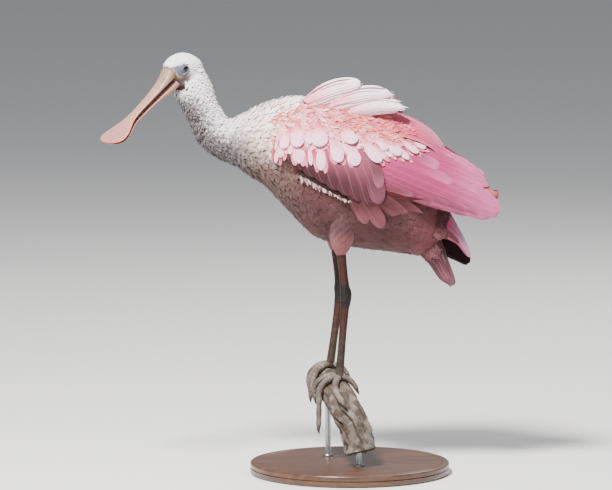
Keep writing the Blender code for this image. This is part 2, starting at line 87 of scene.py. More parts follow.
# share of the length, top, bottom, share of half the spoon's width
UPPER_BILL = (
    (0.02, 20, 0.3, 0.49), (0.12, 13.5, 0.8, 0.44), (0.26, 9, 1.6, 0.38), (0.40, 7.2, 1.9, 0.34),
    (0.55, 6.2, 1.8, 0.34), (0.66, 5.4, 1.4, 0.43), (0.76, 4.6, 1.0, 0.68), (0.85, 4.2, 0.8, 0.93),
    (0.915, 4.0, 0.8, 1.0), (0.96, 3.6, 0.8, 0.88), (0.99, 3.0, 0.8, 0.54), (1.0, 2.2, 0.9, 0.20),
)
LOWER_BILL = (
    (0.02, -0.6, -13, 0.46), (0.12, -1, -13, 0.42), (0.26, -1.8, -8.5, 0.35), (0.40, -2.2, -6.4, 0.31),
    (0.55, -2, -5.4, 0.31), (0.66, -1.4, -4.6, 0.40), (0.76, -0.8, -3.5, 0.65),
    (0.85, -0.5, -2.8, 0.90), (0.915, -0.4, -2.5, 0.96), (0.96, -0.4, -2.4, 0.84),
    (0.985, -0.5, -2.4, 0.52), (0.993, -0.7, -2.0, 0.18),
)
# x, upper out, upper z, lower out, lower z, bulge
NEAR_WING = (
    (-112, 44, 474, 50, 450, 6), (-98, 40, 500, 60, 432, 14), (-72, 36, 515, 66, 412, 20),
    (-38, 33, 520, 70, 394, 24), (0, 30, 516, 74, 384, 25), (36, 27, 505, 74, 388, 24),
    (72, 23, 490, 66, 391, 19), (108, 19, 471, 54, 387, 13), (143, 17, 451, 43, 377, 8),
    (176, 17, 430, 33, 367, 5), (199, 19, 400, 26, 361, 3), (209.5, 21, 379, 23, 366, 1.5),
)
FAR_WING = NEAR_WING[:-3] + (
    (176, 17, 424, 33, 376, 5), (199, 19, 399, 26, 379, 3), (210, 21, 395, 23, 386, 1.5),
)
# root x, out, z, tip x, out, z, width, bow
SCAPULARS = (
    (-70, 20, 517, 20, 26, 548, 34, 12), (-40, 22, 511, 64, 24, 533, 36, 13),
    (-10, 26, 503, 80, 32, 513, 26, 12),
)
FAR_SCAPULAR_DROP = 8.0
FOLD_DEPTH = (24.0, 21.0, 15.0)
# x, top z, half width
TERTIALS = (
    (6, 512, 40), (34, 510, 42), (62, 504, 41), (90, 493, 37), (112, 478, 31), (126, 460, 22),
    (131, 450, 10),
)
# upper x, z, lower x, z, out upper, out lower, thickness
NEAR_TAIL = (
    (113, 401, 105, 353, 3, 22, 5), (133, 376, 124, 338, 3, 24, 4.5), (143, 360, 139, 331, 3, 20, 4),
    (158, 334, 152, 322, 2, 12, 3.5), (167, 313, 162, 309, 2, 6, 3), (169, 304, 167, 302, 2, 4, 2.5),
)
FAR_TAIL = (
    (112, 400, 100, 334, 2, 28, 5), (132, 374, 126, 314, 2, 28, 4.5), (142, 358, 137, 303, 2, 24, 4),
    (157, 332, 150, 297, 2, 17, 3.5), (166, 311, 161, 292, 2, 9, 3), (170, 297, 168, 290, 2, 5, 2.5),
)
UNDERTAIL = (
    (118, 350, 84, 325, 4, 8, 28), (130, 318, 103, 305, 6, 10, 22), (137, 300, 114, 292, 8, 12, 16),
    (143, 284, 126, 275, 10, 13, 11), (147, 271, 139, 266, 12, 13, 7), (146, 263, 143, 261, 12, 13, 4),
)
# x, out, z of hip, cuff, ankle and foot
LEGS = {
    "left": ((-8, 34, 372), (-13, 29, 316), (-6, 25, 251), (-14.8, 29.5, 137.9)),
    "right": ((-12, -34, 372), (-20, -31, 316), (-13, -27, 252), (-27.3, -14.7, 150.0)),
}
BRANCH = (
    (-35, 66, 128), (-29, 38, 124), (-20, 2, 115.5), (-8, -28, 97), (6, -44, 69), (14, -50, 37),
)
BRANCH_RADIUS = 23.0
TOE_RADIUS = 4.4
CLAW_LENGTH = 9.0
# branch row, angle towards the bird's front, and the length that hangs beyond
TOES = {
    "left": {
        "middle": (((2.16, 0), (2.14, 35), (2.16, 70), (2.24, 98)), 42),
        "inner": (((2.14, 0), (1.96, 35), (1.80, 72), (1.74, 105)), 6),
        "outer": (((2.16, 0), (2.45, 22), (2.80, 34), (3.20, 40)), 0),
        "hind": (((2.16, 0), (2.26, -28), (2.42, -62)), 0),
    },
    "right": {
        "middle": (((1.08, 0), (1.04, 35), (1.02, 70), (1.04, 98)), 16),
        "inner": (((1.08, 0), (1.22, 35), (1.36, 72), (1.40, 105)), 4),
        "outer": (((1.08, 0), (0.88, 30), (0.70, 64), (0.62, 96)), 4),
        "hind": (((1.08, 0), (1.16, -28), (1.26, -62)), 0),
    },
}
BASE_RADIUS, BASE_HEIGHT, ROD_RADIUS = 140.0, 16.0, 4.0
ROD_ROWS = {"stand_rod_rear": 0.8, "stand_rod_front": 4.75}

# ---------------------------------------------------------------- feathers placed by the photograph
# root x, y, tip x, y, width, bow, all in photo pixels, and the lift of root and tip in millimetres

PETALS = (
    (279, 144, 277, 163, 6, 0, 1, 3), (284, 140, 281, 158, 7, 0, 1, 4),
    (290, 130, 284, 150, 10, 0, 3, 6), (287, 138, 291, 155, 7, 0, 1, 3),
    (297, 136, 300, 164, 13, 0, 1, 3), (298, 124, 298, 149, 14, 0, 4, 7),
    (308, 140, 311.5, 166, 5, 0, 1, 4), (311, 128, 309, 146, 10, 0, 3, 5),
    (320, 138, 321.5, 171, 10, 0, 1, 4), (318, 124, 320, 149, 17, 0, 4, 7),
    (331, 134, 340, 163.5, 13, 1, 2, 6), (349, 140, 356, 167, 14, 1, 2, 5),
    (343, 127, 353, 147, 14, 0, 4, 8), (341, 132, 347, 155, 5, 1, 1, 3),
    (360, 136, 379, 164, 13, 1.5, 3, 7), (382, 138, 399, 157, 12, 1, 2, 6),
    (390, 141, 407, 161, 8, 1, 2, 5), (397, 138, 416, 155, 9, 1, 3, 6),
    (408, 139, 424, 150, 7, 1, 2, 5), (372, 136, 386, 152, 9, 1, 3, 5),
    (366, 140, 384, 160, 8, 1, 1, 3), (376, 142, 391, 158, 7, 1, 1, 3),
)
GREATER_COVERTS = (
    (280, 142, 285, 160, 15, -2, -1, 0.5), (284, 142, 294, 165, 18, -2, -1, 0.8),
    (290, 142, 304, 171, 19, -3, -1, 1), (297, 142, 315, 178, 20, -3, -0.5, 1.2),
    (305, 142, 326, 184, 20, -4, 0, 1.6), (313, 142, 337, 190.5, 20, -4, 0, 2),
    (322, 141, 348, 196, 20, -5, 0.5, 2.4), (331, 140, 359, 201, 20, -5, 0.5, 3),
    (340, 139, 370, 205, 20, -5, 1, 3.6), (348, 138, 378, 203, 19, -5, 1.2, 4.2),
    (356, 139, 378, 190, 14, -4, 1.4, 4.2),
)
FLIGHT = (
    (340, 174, 414, 195.5, 9, 1, -1, 0.6), (344, 173, 428, 199.5, 9, 1, -1, 0.7),
    (348, 172, 441, 203.5, 11, 1.5, -1, 0.8), (352, 171, 453, 208.5, 12, 1.5, -0.8, 0.9),
    (354, 169, 465, 213, 12, 1.5, -0.6, 0.9), (356, 166, 477, 216, 12, 1.5, -0.4, 1),
    (358, 163, 489, 217.5, 13, 1, -0.2, 1.1), (360, 159, 497, 215.5, 13, 0.5, 0, 1.2),
    (364, 155, 500.5, 211, 13, -0.5, 0.2, 1.3), (370, 151, 499, 205, 12, -1, 0.4, 1.4),
    (378, 149, 493, 199, 11, -1, 0.6, 1.6), (384, 148, 484, 192, 11, -1, 0.8, 1.9),
    (392, 147, 488, 186, 9, -1, 0.6, 1.6), (398, 146, 485.4, 181, 9, -1, 0.8, 1.8),
    (404, 145, 483.6, 175, 8, -1, 1, 2), (374, 148, 453, 182, 13, -1.5, 0.8, 1.5),
    (410, 144, 476, 170, 8, -1, 1.2, 2.2), (414, 143, 469, 165.5, 8, -1, 1.5, 2.4),
    (416, 142, 461, 161.5, 7, -1, 1.7, 2.6), (388, 146, 438, 168, 12, -1.5, 1.4, 2.2),
    (418, 140, 454, 158.5, 7, -1, 2, 3),
)
FLANK_PETALS = (
    (356, 190, 381.5, 228, 15, -2, 1, 4), (366, 192, 409, 225, 16, -3, 0, 3),
    (349, 196, 366, 224, 12, -1, 0, 2), (384, 196, 424, 224, 13, -3, -1, 1),
    (378, 192, 396, 216, 13, -1, -2, 0),
)
# dark strips of painted shadow under the greater coverts and the flight feathers
SHADOW_STRIPS_UNDER_COVERTS = (
    (299, 172.5, 322, 186, 3.5, 0, 0.2, 0.6), (308, 178, 338, 194.5, 4.2, 0, 0.4, 0.8),
    (324, 188, 352, 202, 3.2, 0, 0.6, 0.8), (364, 191, 404, 198, 7, 0, 0.5, 0.5),
    (390, 196, 430, 203, 5, 0, 0.4, 0.4),
)


def along(rows, steps):
    """Catmull-Rom curve through a table's rows, read at row numbers of any shape."""
    table = np.asarray(rows, float)
    last = len(table) - 1
    padded = np.vstack([2 * table[0] - table[1], table, 2 * table[-1] - table[-2]])
    steps = np.clip(np.asarray(steps, float), 0, last)
    start = np.minimum(steps.astype(int), last - 1)
    share = (steps - start)[..., None]
    before, here, after, beyond = (padded[start + k] for k in range(4))
    return 0.5 * (
        2 * here
        + (after - before) * share
        + (2 * before - 5 * here + 4 * after - beyond) * share**2
        + (3 * here - before - 3 * after + beyond) * share**3
    )


def columns_at(table, rows):
    """A table's columns, each read at row numbers of any shape."""
    return np.moveaxis(along(table, rows), -1, 0)


def row_at(table, value, sense=1):
    """Row numbers where a table's first column has a value. sense is -1 where that column falls."""
    return np.interp(sense * value, [sense * row[0] for row in table], np.arange(len(table)))


def point(x, y, z):
    """Points from coordinates of any shapes that fit together."""
    return np.stack(np.broadcast_arrays(x, y, z), -1)


def circle(count):
    """Evenly spaced angles of one turn."""
    return np.arange(count) * tau / count


def unit(vectors):
    """Vectors scaled to length one along the last axis."""
    return vectors / np.maximum(np.linalg.norm(vectors, axis=-1, keepdims=True), 1e-9)


def running_length(path):
    """Length from a line's first point to each of its points."""
    steps = np.linalg.norm(np.diff(path, axis=-2), axis=-1).cumsum(-1)
    return np.concatenate([np.zeros_like(steps[..., :1]), steps], -1)


def ease(low, high, value):
    """0 at low, 1 at high, and a smooth cubic between them, whichever of the two is larger."""
    share = np.clip((np.asarray(value, float) - low) / (high - low), 0, 1)
    return share * share * (3 - 2 * share)


def bell(value, centre, width):
    """1 at a centre, falling away on both sides over a width."""
    return np.exp(-(((value - centre) / width) ** 2))


def blend_of(first, second, share):
    """Colour or place between two, by a share of any shape."""
    return np.asarray(first, float) + (np.asarray(second, float) - first) * np.asarray(share)[..., None]


def layered(colour, *layers):
    """A colour with other colours laid over it in turn, each by its own mask from 0 to 1."""
    for shade, mask in layers:
        colour = blend_of(colour, shade, mask)
    return colour


def tint(red, green, blue):
    """Display values from 0 to 255 as a linear colour."""
    value = np.array((red, green, blue)) / 255
    return np.where(value <= 0.04045, value / 12.92, ((value + 0.055) / 1.055) ** 2.4)


def ripple(points, size, seed):
    """Smooth wandering value from -1 to 1: five sines in seeded directions, size millimetres long."""
    chance = np.random.default_rng(seed)
    aims = unit(chance.normal(size=(5, 3))) * (tau / size) * chance.uniform(0.6, 1.7, (5, 1))
    return np.sin(points @ aims.T + chance.uniform(0, tau, 5)).sum(-1) / 3.2


def photo_x(px):
    """Length along the bird of a column of the photograph."""
    return (px - PHOTO_FOOT[0]) * PIXEL


def photo_z(py, y):
    """Height of a row of the photograph at a depth, seen down along the camera's tilt."""
    return FOOT_HEIGHT + ((PHOTO_FOOT[1] - py) * PIXEL - (y - FOOT_Y) * sin(TILT)) / cos(TILT)


# ---------------------------------------------------------------- the bird's surfaces


def oval(upper, lower, half, angle):
    """Ovals from an upper to a lower point, half wide along Y, angle 0 at the upper point."""
    upper, lower, turn = point(*upper), point(*lower), np.asarray(angle)[..., None]
    return (upper + lower) / 2 + (upper - lower) / 2 * np.cos(turn) + point(0, half, 0) * np.sin(turn)


def body(row, angle):
    """Neck and trunk: ovals between a dorsal and a ventral line, row -1 inside the skull."""
    x0, z0, x1, z1, half = columns_at((NECK_ROOT, *BODY), np.asarray(row, float) + 1)
    return oval((x0, MID_Y, z0), (x1, MID_Y, z1), half, angle)


def bill_axes():
    """Forward, left and up unit vectors of the bill frame."""
    yaw, pitch = radians(HEAD_YAW), radians(BILL_PITCH)
    forward = np.array((-cos(pitch) * cos(yaw), -cos(pitch) * sin(yaw), -sin(pitch)))
    left = np.array((sin(yaw), -cos(yaw), 0.0))
    return np.stack([forward, left, np.cross(forward, left)])


AXES = bill_axes()


def head_place(forward, left, up):
    """A point from its distances forward, left and up of the gape."""
    return point(forward, left, up) @ AXES + np.array(GAPE_CENTRE)


def head_lengths(points):
    """Distances forward, left and up of the gape."""
    return np.moveaxis((points - np.array(GAPE_CENTRE)) @ AXES.T, -1, 0)


def head_oval(table, row, angle):
    """Ovals of the bill frame, from rows of forward, top, bottom and half width."""
    forward, top, bottom, half = columns_at(table, row)
    return head_place(forward, half * np.sin(angle), (top + bottom) / 2 + (top - bottom) / 2 * np.cos(angle))


def skull(row, angle):
    """The skull, angle 0 on the crown and a quarter turn on the bird's left."""
    return head_oval(SKULL, row, angle)


def skull_side(forward, up):
    """Half width of the skull at a distance forward and up."""
    _, top, bottom, half = columns_at(SKULL, row_at(SKULL, forward, -1))
    level = (up - (top + bottom) / 2) / ((top - bottom) / 2)
    return half * np.sqrt(np.clip(1 - level**2, 0.02, 1))


def wing(side):
    """The outer face of a folded wing at a place along the bird and a share from its upper edge down."""
    table = NEAR_WING if side == LEFT else FAR_WING

    def face(x, share):
        _, out0, z0, out1, z1, bulge = columns_at(table, row_at(table, x))
        out = out0 + (out1 - out0) * share + bulge * np.sin(pi * np.clip(share, 0, 1))
        tucked = 110 * np.maximum(share - 1, 0)
        return point(x, MID_Y - side * (out - tucked + RAISED), z0 + (z1 - z0) * share)

    return face


def wing_share(x, z):
    """Share from the near wing's upper edge at a length and a height."""
    _, _, upper, _, lower, _ = columns_at(NEAR_WING, row_at(NEAR_WING, x))
    return (upper - z) / (upper - lower)


def tertial_dome(row, across):
    """The dome of tertials: half width times across, dropping with its square."""
    x, z, half = columns_at(TERTIALS, row)
    return point(x, MID_Y + half * across, z - 0.55 * half * across**2)


def tail_face(table, side):
    """The outer face of a tail half: a row down its length and a share from upper to lower edge."""

    def face(row, share):
        x0, z0, x1, z1, out0, out1, thick = columns_at(table, row)
        out = out0 + (out1 - out0) * share + (thick + RAISED) * np.sin(pi * np.clip(share, 0, 1)) + RAISED
        return point(x0 + (x1 - x0) * share, MID_Y - side * out, z0 + (z1 - z0) * share)

    return face


def undertail_bundle(row, angle):
    """The undertail coverts: ovals between an upper and a lower line, as thick as the table says."""
    x0, z0, x1, z1, out0, out1, thick = columns_at(UNDERTAIL, row)
    return oval((x0, MID_Y - out0, z0), (x1, MID_Y - out1, z1), thick / 2 + RAISED, angle)


def leg_places(side):
    """Hip, cuff, ankle and foot of a leg."""
    return [np.array((x, MID_Y - out, z), float) for x, out, z in LEGS[side]]


def thigh(side):
    """The feathered thigh: circles square to the line from hip to cuff, narrowing towards the cuff."""
    hip, cuff, *_ = leg_places(side)
    down = unit(cuff - hip)
    front = unit(np.array((-1.0, 0, 0)) + down * down[0])
    out = np.cross(front, down)

    def face(share, angle):
        radius = (30 - 18.5 * np.maximum(share, 0) ** 1.3)[..., None]
        turn = np.asarray(angle)[..., None]
        return hip + (cuff - hip) * share[..., None] + (front * np.cos(turn) + out * np.sin(turn)) * radius

    return face


# a ground is a surface, the sense of its outward normal, and its first parameter's step for slopes
STEP = 0.02
ON_BODY, ON_SKULL = (body, 1, STEP), (skull, -1, STEP)
ON_DOME, ON_UNDERTAIL = (tertial_dome, 1, STEP), (undertail_bundle, 1, STEP)


def on_wing(side):
    """The ground of a wing, whose first parameter is in millimetres."""
    return wing(side), -side, 1.0


def on_tail(table, side):
    """The ground of a tail half."""
    return tail_face(table, side), -side, STEP


# ---------------------------------------------------------------- meshes


def ring_mesh(name, rings, maps, marks):
    """Puts tubes into one mesh, each closed at its ends by a polygon.

    rings is tubes x rows x columns x 3 in millimetres. maps holds UV values by name, tubes x rows x
    (columns + 1) x 2; marks holds point attributes by name, tubes x rows x columns, or with a last
    axis of 3 for a colour. A tube with a negative volume is turned round.
    """
    rings = np.array(rings, float)
    tubes, rows, columns = rings.shape[:3]
    centred = rings - rings.mean((1, 2), keepdims=True)
    here, beside, beyond = centred[:, :-1], np.roll(centred, -1, 2)[:, :-1], centred[:, 1:]
    volume = (here * np.cross(beside, beyond)).sum((1, 2, 3))
    for array in (rings, *maps.values(), *marks.values()):
        array[volume < 0] = array[volume < 0][:, :, ::-1]
    row, column = np.meshgrid(np.arange(rows - 1), np.arange(columns), indexing="ij")
    row_of = np.stack([row, row, row + 1, row + 1], -1).ravel()
    column_of = np.stack([column, column + 1, column + 1, column], -1).ravel()
    ends = np.arange(columns)
    row_of = np.concatenate([row_of, 0 * ends, 0 * ends + rows - 1])
    column_of = np.concatenate([column_of, ends[::-1], ends])
    corner = row_of * columns + column_of % columns
    corners = (corner[None] + np.arange(tubes)[:, None] * rows * columns).ravel()
    sizes = np.tile(np.concatenate([np.full((rows - 1) * columns, 4), [columns, columns]]), tubes)
    mesh = bpy.data.meshes.new(name)
    mesh.vertices.add(tubes * rows * columns)
    mesh.vertices.foreach_set("co", (rings * MM).astype(np.float32).ravel())
    mesh.loops.add(len(corners))
    mesh.loops.foreach_set("vertex_index", corners.astype(np.int32))
    mesh.polygons.add(len(sizes))
    mesh.polygons.foreach_set("loop_start", np.concatenate([[0], np.cumsum(sizes)[:-1]]).astype(np.int32))
    mesh.update(calc_edges=True)
    for title, values in maps.items():
        values = values[:, row_of, column_of].astype(np.float32)
        mesh.uv_layers.new(name=title).data.foreach_set("uv", values.ravel())
    for title, values in marks.items():
        put_mark(mesh, title, values.reshape((-1, 3) if values.ndim == 4 else -1))
    mesh.validate()
    return mesh


def put_mark(mesh, title, values):
    """Stores a number or a colour on each point of a mesh."""
    if values.ndim == 1:
        mesh.attributes.new(title, "FLOAT", "POINT").data.foreach_set("value", values.astype(np.float32))
        return
    colour = np.ones((len(values), 4), np.float32)
    colour[:, :3] = np.clip(values, 0, 1)
    mesh.attributes.new(title, "FLOAT_COLOR", "POINT").data.foreach_set("color", colour.ravel())


def linked(name, data):
    """A new object in the scene."""
    made = bpy.data.objects.new(name, data)
    bpy.context.scene.collection.objects.link(made)
    return made


def finished(name, mesh, material, slot_name, sharp=None):
    """Turns a mesh into a piece of the root body, shaded smooth up to the sharp angle."""
    mesh.materials.append(material)
    mesh.shade_smooth()
    if sharp:
        mesh.set_sharp_from_angle(angle=radians(sharp))
    piece = linked(name, mesh)
    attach(piece, "root")
    return piece


def ring_piece(name, rings, material, slot_name, node=None, colour=None, form=None, sharp=None):
    """One tube as a piece, with the solid it replaces, its colour mark, and its map's length and girth."""
    rows, columns = rings.shape[:2]
    maps, marks = {}, {}
    if form:
        u, v = np.meshgrid(np.linspace(0, form[1], columns + 1), np.linspace(0, form[0], rows))
        maps["Form"] = np.stack([u, v], -1)[None]
    if colour is not None:
        marks["hide"] = np.broadcast_to(colour, rings.shape)[None].copy()
    piece = finished(name, ring_mesh(name, rings[None], maps, marks), material, slot_name, sharp)
    if node:
        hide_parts(node)
    return piece


def tube_shape(path, radii, columns):
    """Rings square to a path, their first axis kept level as far as it goes."""
    heading = unit(np.gradient(path, axis=0))
    aside = unit(np.cross(heading, np.where(np.abs(heading[:, 2:]) > 0.93, [[0.0, 1, 0]], [[0.0, 0, 1]])))
    for index in range(1, len(path)):
        carried = aside[index - 1] - heading[index] * (aside[index - 1] @ heading[index])
        aside[index] = carried / np.linalg.norm(carried)
    above = np.cross(aside, heading)
    angle = circle(columns)[None, :, None]
    spokes = aside[:, None] * np.cos(angle) + above[:, None] * np.sin(angle)
    return path[:, None] + spokes * radii[:, None, None]


# ---------------------------------------------------------------- plumage colours

CROWN = tint(240, 241, 246)
NECK_WHITE = tint(233, 229, 233)
# painted shade for the neck's underside
NECK_PAINTED_SHADE = tint(66, 56, 62)
# painted shade for the gaps between the ruffled neck feathers
NECK_GAP_SHADE = tint(66, 50, 52)
CREAM = tint(236, 218, 205)
# painted shade for the lower breast
BREAST_PAINTED_SHADE = tint(96, 72, 64)
MANTLE = tint(250, 236, 228)
MANTLE_PINK = tint(252, 196, 192)
# the belly's own dull mauve, darkened further by painted shade
SHADED_BELLY_MAUVE = tint(82, 50, 51)
FLANK = tint(112, 60, 66)
COVERT = tint(140, 74, 96)
FLIGHT_PINK = tint(168, 58, 108)
PETAL = tint(252, 198, 220)
PETAL_ROOT = tint(222, 92, 112)
ROSE = tint(196, 62, 84)
SALMON = tint(228, 112, 100)
LILAC = tint(200, 172, 200)
TAIL_PINK = tint(170, 80, 116)
# painted shadow: the dark of the tail's hollow and of the gap under the wing's edge
SHADOW_MAROON = tint(38, 10, 12)
DUSK = tint(166, 84, 84)
VENT = tint(78, 44, 48)


def plumage(points, normals):
    """Colour of the plumage at places on the bird, the same for skin and coat.

    White neck, cream breast and mantle, then pink, chosen by length along the bird and by height.
    Painted shade darkens the neck where it faces down and in the gaps of its ruffled feathers,
    the lower breast, and the belly beyond its own dull mauve.
    """
    x, z = points[..., 0], points[..., 2]
    # painted shade: the neck darkened where its surface faces down and forward
    below = ease(0.6, -0.35, 0.6 * normals[..., 0] + 0.8 * normals[..., 2])
    # painted shade in blotches on the lower neck, where gaps between ruffled feathers face down
    gap_shade = ease(0.1, 0.6, ripple(points, 8, 31)) * ease(545, 500, z) * ease(0.5, -0.2, normals[..., 2])
    shaded = 0.9 * below * ease(548, 522, z)
    white = layered(NECK_WHITE, (NECK_PAINTED_SHADE, shaded), (NECK_GAP_SHADE, 0.85 * gap_shade))
    # painted shade on the lower breast, below about 480 mm
    breast = blend_of(CREAM, BREAST_PAINTED_SHADE, ease(480, 428, z + 10 * ripple(points, 60, 3)))
    rosy = ease(-34, 6, x + 16 * ripple(points, 24, 33))
    back = layered(MANTLE, (MANTLE_PINK, ease(-85, -35, x)), (ROSE, rosy))
    # the belly's colour holds painted shade besides its own dull mauve
    lower = blend_of(SHADED_BELLY_MAUVE, FLANK, ease(30, 110, x)) * (1 + 0.22 * ripple(points, 46, 35))[..., None]
    return layered(
        white,
        (breast, ease(-178, -130, x)),
        (back, ease(482, 506, z) * ease(-165, -125, x)),
        (lower, ease(-112, -66, x - 0.5 * (z - 420)) * ease(470, 430, z)),
        (ROSE, ease(10, 60, x) * ease(450, 480, z)),
        (VENT, ease(80, 120, x) * ease(400, 380, z)),
    )


# ---------------------------------------------------------------- feathers


# a vane's thickness at its tip, the half width that has full thickness, and the edge colour's share
TIP_THINNING, FULL_THICK_FROM, EDGE_SHARE = 0.65, 1.5, 0.8
# one unit of the Vane map is a centimetre
VANE_UNIT = 10.0
# in the OFBake map: cells in a row, a cell's margin and used width, and a vane's own patch
CELLS, CELL_MARGIN, CELL_SPAN, VANE_PATCH = 7, 0.006, 0.130, 0.003
# a scattered feather's spread of length and width, and how far it bends
SIZE_SPREAD, BEND = 0.2, 0.25
BRIGHTEST = 0.95


class Coat:
    """Counts the tracts, so that each gets its own cell of the OFBake unwrap."""

    tracts = 0


def shares_of(count, crowd=1.6):
    """Row shares along a vane, crowded towards its tip."""
    return 1 - (1 - np.linspace(0, 1, count)) ** crowd


def leaf(share, swell=0.35, tip=0.3, foot=0.35):
    """Half width over a vane: from foot to full over swell, closing in a quarter circle over the last tip."""
    closing = np.clip((share - (1 - tip)) / tip, 0, 1)
    return (foot + (1 - foot) * ease(0, swell, share)) * np.sqrt(np.maximum(1 - closing**2, 0.0016))


def vanes(
    name, places, line, normal, half_width, colour, slot_name,
    edge=None, under=None, around=4, thick=0.35, arch=0.12,
):
    """Feather vanes as flat closed lens rings carried along their middle lines.

    A ring point is line + across * half width * cos + up * (thickness * sin + arch * half width *
    sin squared), and the thickness shrinks towards the tip. line is vanes x rows x 3, and normal,
    half_width and colour fit it. places are the roots' two places from 0 to 1 on the tract's own
    surface. edge and under are colours for the sides and the lower face.
    """
    count, rows = line.shape[:2]
    half_width = np.broadcast_to(half_width, (count, rows))[..., None]
    heading = unit(np.gradient(line, axis=1))
    across = unit(np.cross(heading, normal))
    up = np.cross(across, heading)
    angle = circle(around)
    run = np.linspace(0, 1, rows)
    depth = thick * (1 - TIP_THINNING * run)[None, :, None] * np.minimum(1, half_width / FULL_THICK_FROM)
    wide = half_width * np.cos(angle)
    high = depth * np.sin(angle) + arch * half_width * np.sin(angle) ** 2
    rings = line[:, :, None] + across[:, :, None] * wide[..., None] + up[:, :, None] * high[..., None]
    shown = np.broadcast_to(np.broadcast_to(colour, line.shape)[:, :, None], rings.shape).copy()
    if edge is not None:
        shown = blend_of(shown, edge, np.broadcast_to(np.cos(angle) ** 4, wide.shape) * EDGE_SHARE)
    if under is not None:
        shown = blend_of(shown, under, np.broadcast_to(np.sin(angle) < -0.2, wide.shape) * 1.0)
    wrapped = np.concatenate([wide, wide[..., :1]], -1)
    vane_map = np.stack(np.broadcast_arrays(wrapped, running_length(line)[..., None]), -1) / VANE_UNIT
    cell = np.array((Coat.tracts % CELLS, Coat.tracts // CELLS)) / CELLS
    Coat.tracts += 1
    patch = np.stack(np.broadcast_arrays(np.cos(np.append(angle, 0.0)) * 0.5, run[:, None] - 0.5), -1)
    root = np.stack([np.broadcast_to(np.ravel(value), count) for value in places], -1)
    bake_map = cell + CELL_MARGIN + CELL_SPAN * np.clip(root, 0, 1)[:, None, None] + VANE_PATCH * patch
    chance = np.random.default_rng(count + rows).uniform(size=count)
    marks = {"plumage": shown, "feather": np.broadcast_to(chance[:, None, None], wide.shape).copy()}
    mesh = ring_mesh(name, rings, {"Vane": vane_map, "OFBake": bake_map}, marks)
    return finished(name, mesh, FEATHERS[slot_name], slot_name, sharp=55)


def slopes(ground, p, q):
    """Change of a surface per unit of each parameter, by central differences."""
    surface, _, step = ground
    along_p = (surface(p + step, q) - surface(p - step, q)) / (2 * step)
    along_q = (surface(p, q + STEP) - surface(p, q - STEP)) / (2 * STEP)
    return along_p, along_q


def laid(ground, p, q, lift):
    """Points raised by lift from a surface, and its outward normals."""
    surface, outward, _ = ground
    p, q, lift = np.broadcast_arrays(p, q, lift)
    normal = unit(np.cross(*slopes(ground, p, q))) * outward
    return surface(p, q) + normal * lift[..., None], normal


def scattered(ground, p_range, q_range, count, seed, where=None):
    """Root places spread evenly by area: a three-way low-discrepancy sequence thinned by the area element."""
    index = np.arange(count * 7)[:, None] + 1.0 + seed * 1009
    chance = np.mod(index * (0.8191725134, 0.6710436067, 0.5497004779), 1.0)
    p = p_range[0] + (p_range[1] - p_range[0]) * chance[:, 0]
    q = q_range[0] + (q_range[1] - q_range[0]) * chance[:, 1]
    area = np.linalg.norm(np.cross(*slopes(ground, p, q)), axis=-1)
    kept = chance[:, 2] < area / np.quantile(area, 0.97)
    if where is not None:
        kept &= where(ground[0](p, q))
    return p[kept][:count], q[kept][:count]


def value_at(value, points):
    """A number, or a function's numbers, for each point."""
    return np.broadcast_to(value(points) if callable(value) else value, points.shape[:-1])


def tract(
    name, ground, p_range, q_range, count, size, slot_name, seed, lift, turn, tip, shades,
    where=None, colour=None, rows=5, thick=0.3, whiter=0.0, edge=1.0,
):
    """Small feathers scattered over a ground, lying along its first parameter.

    size is length and width, and turn is an angle towards the second parameter and its spread; each
    may be a function of the root's points. A vane's root lies lift[0] off the surface and its tip
    lift[1], plus up to lift[2]. shades are the root's share of the colour, a painted shade where the
    vanes overlap, and the spread of shades.
    """
    p, q = scattered(ground, p_range, q_range, count, seed, where)
    count = len(p)
    chance = np.random.default_rng(seed)
    root = ground[0](p, q)
    per_p, per_q = (np.linalg.norm(slope, axis=1)[:, None] for slope in slopes(ground, p, q))
    long = value_at(size[0], root) * (1 + SIZE_SPREAD * chance.uniform(-1, 1, count))
    half = value_at(size[1], root) / 2 * (1 + SIZE_SPREAD * chance.uniform(-1, 1, count))
    aim = value_at(turn[0], root) + turn[1] * chance.normal(size=count)
    share = shares_of(rows)[None]
    bent = aim[:, None] + BEND * chance.normal(size=count)[:, None] * share
    reach = long[:, None] * share
    rise = lift[1] + lift[2] * chance.uniform(-0.3, 1, count)
    high = lift[0] + (rise - lift[0])[:, None] * share**1.4
    p_line, q_line = p[:, None] + reach * np.cos(bent) / per_p, q[:, None] + reach * np.sin(bent) / per_q
    line, normal = laid(ground, p_line, q_line, high)
    if colour is None:
        shade = plumage(root, normal[:, 0])
    else:
        shade = colour(root) if callable(colour) else colour
    shade = shade * (1 + shades[1] * chance.uniform(-1, 1, (count, 1)))
    shade = blend_of(shade, CROWN, whiter * chance.uniform(0, 1, count))
    # painted shade: each vane darkened towards its root, where the vanes overlap
    shown = shade[:, None] * (shades[0] + (1 - shades[0]) * ease(0.1, 0.75, share)[..., None])
    places = [(value - start) / (end - start) for value, (start, end) in ((p, p_range), (q, q_range))]
    return vanes(
        name, places, line, normal, half[:, None] * leaf(share, tip=tip), shown, slot_name, thick=thick,
        edge=np.minimum(shade * edge, BRIGHTEST)[:, None, None],
    )


def near_wing_place(px, py):
    """Length and share on the near wing of a place in the photograph.

    Its height is settled in six rounds against the wing's own distance out.
    """
    x = photo_x(px)
    y = np.full_like(x, -40.0)
    for _ in range(6):
        share = wing_share(x, photo_z(py, y))
        y = wing(LEFT)(x, np.clip(share, 0, 1))[..., 1]
    return x, share


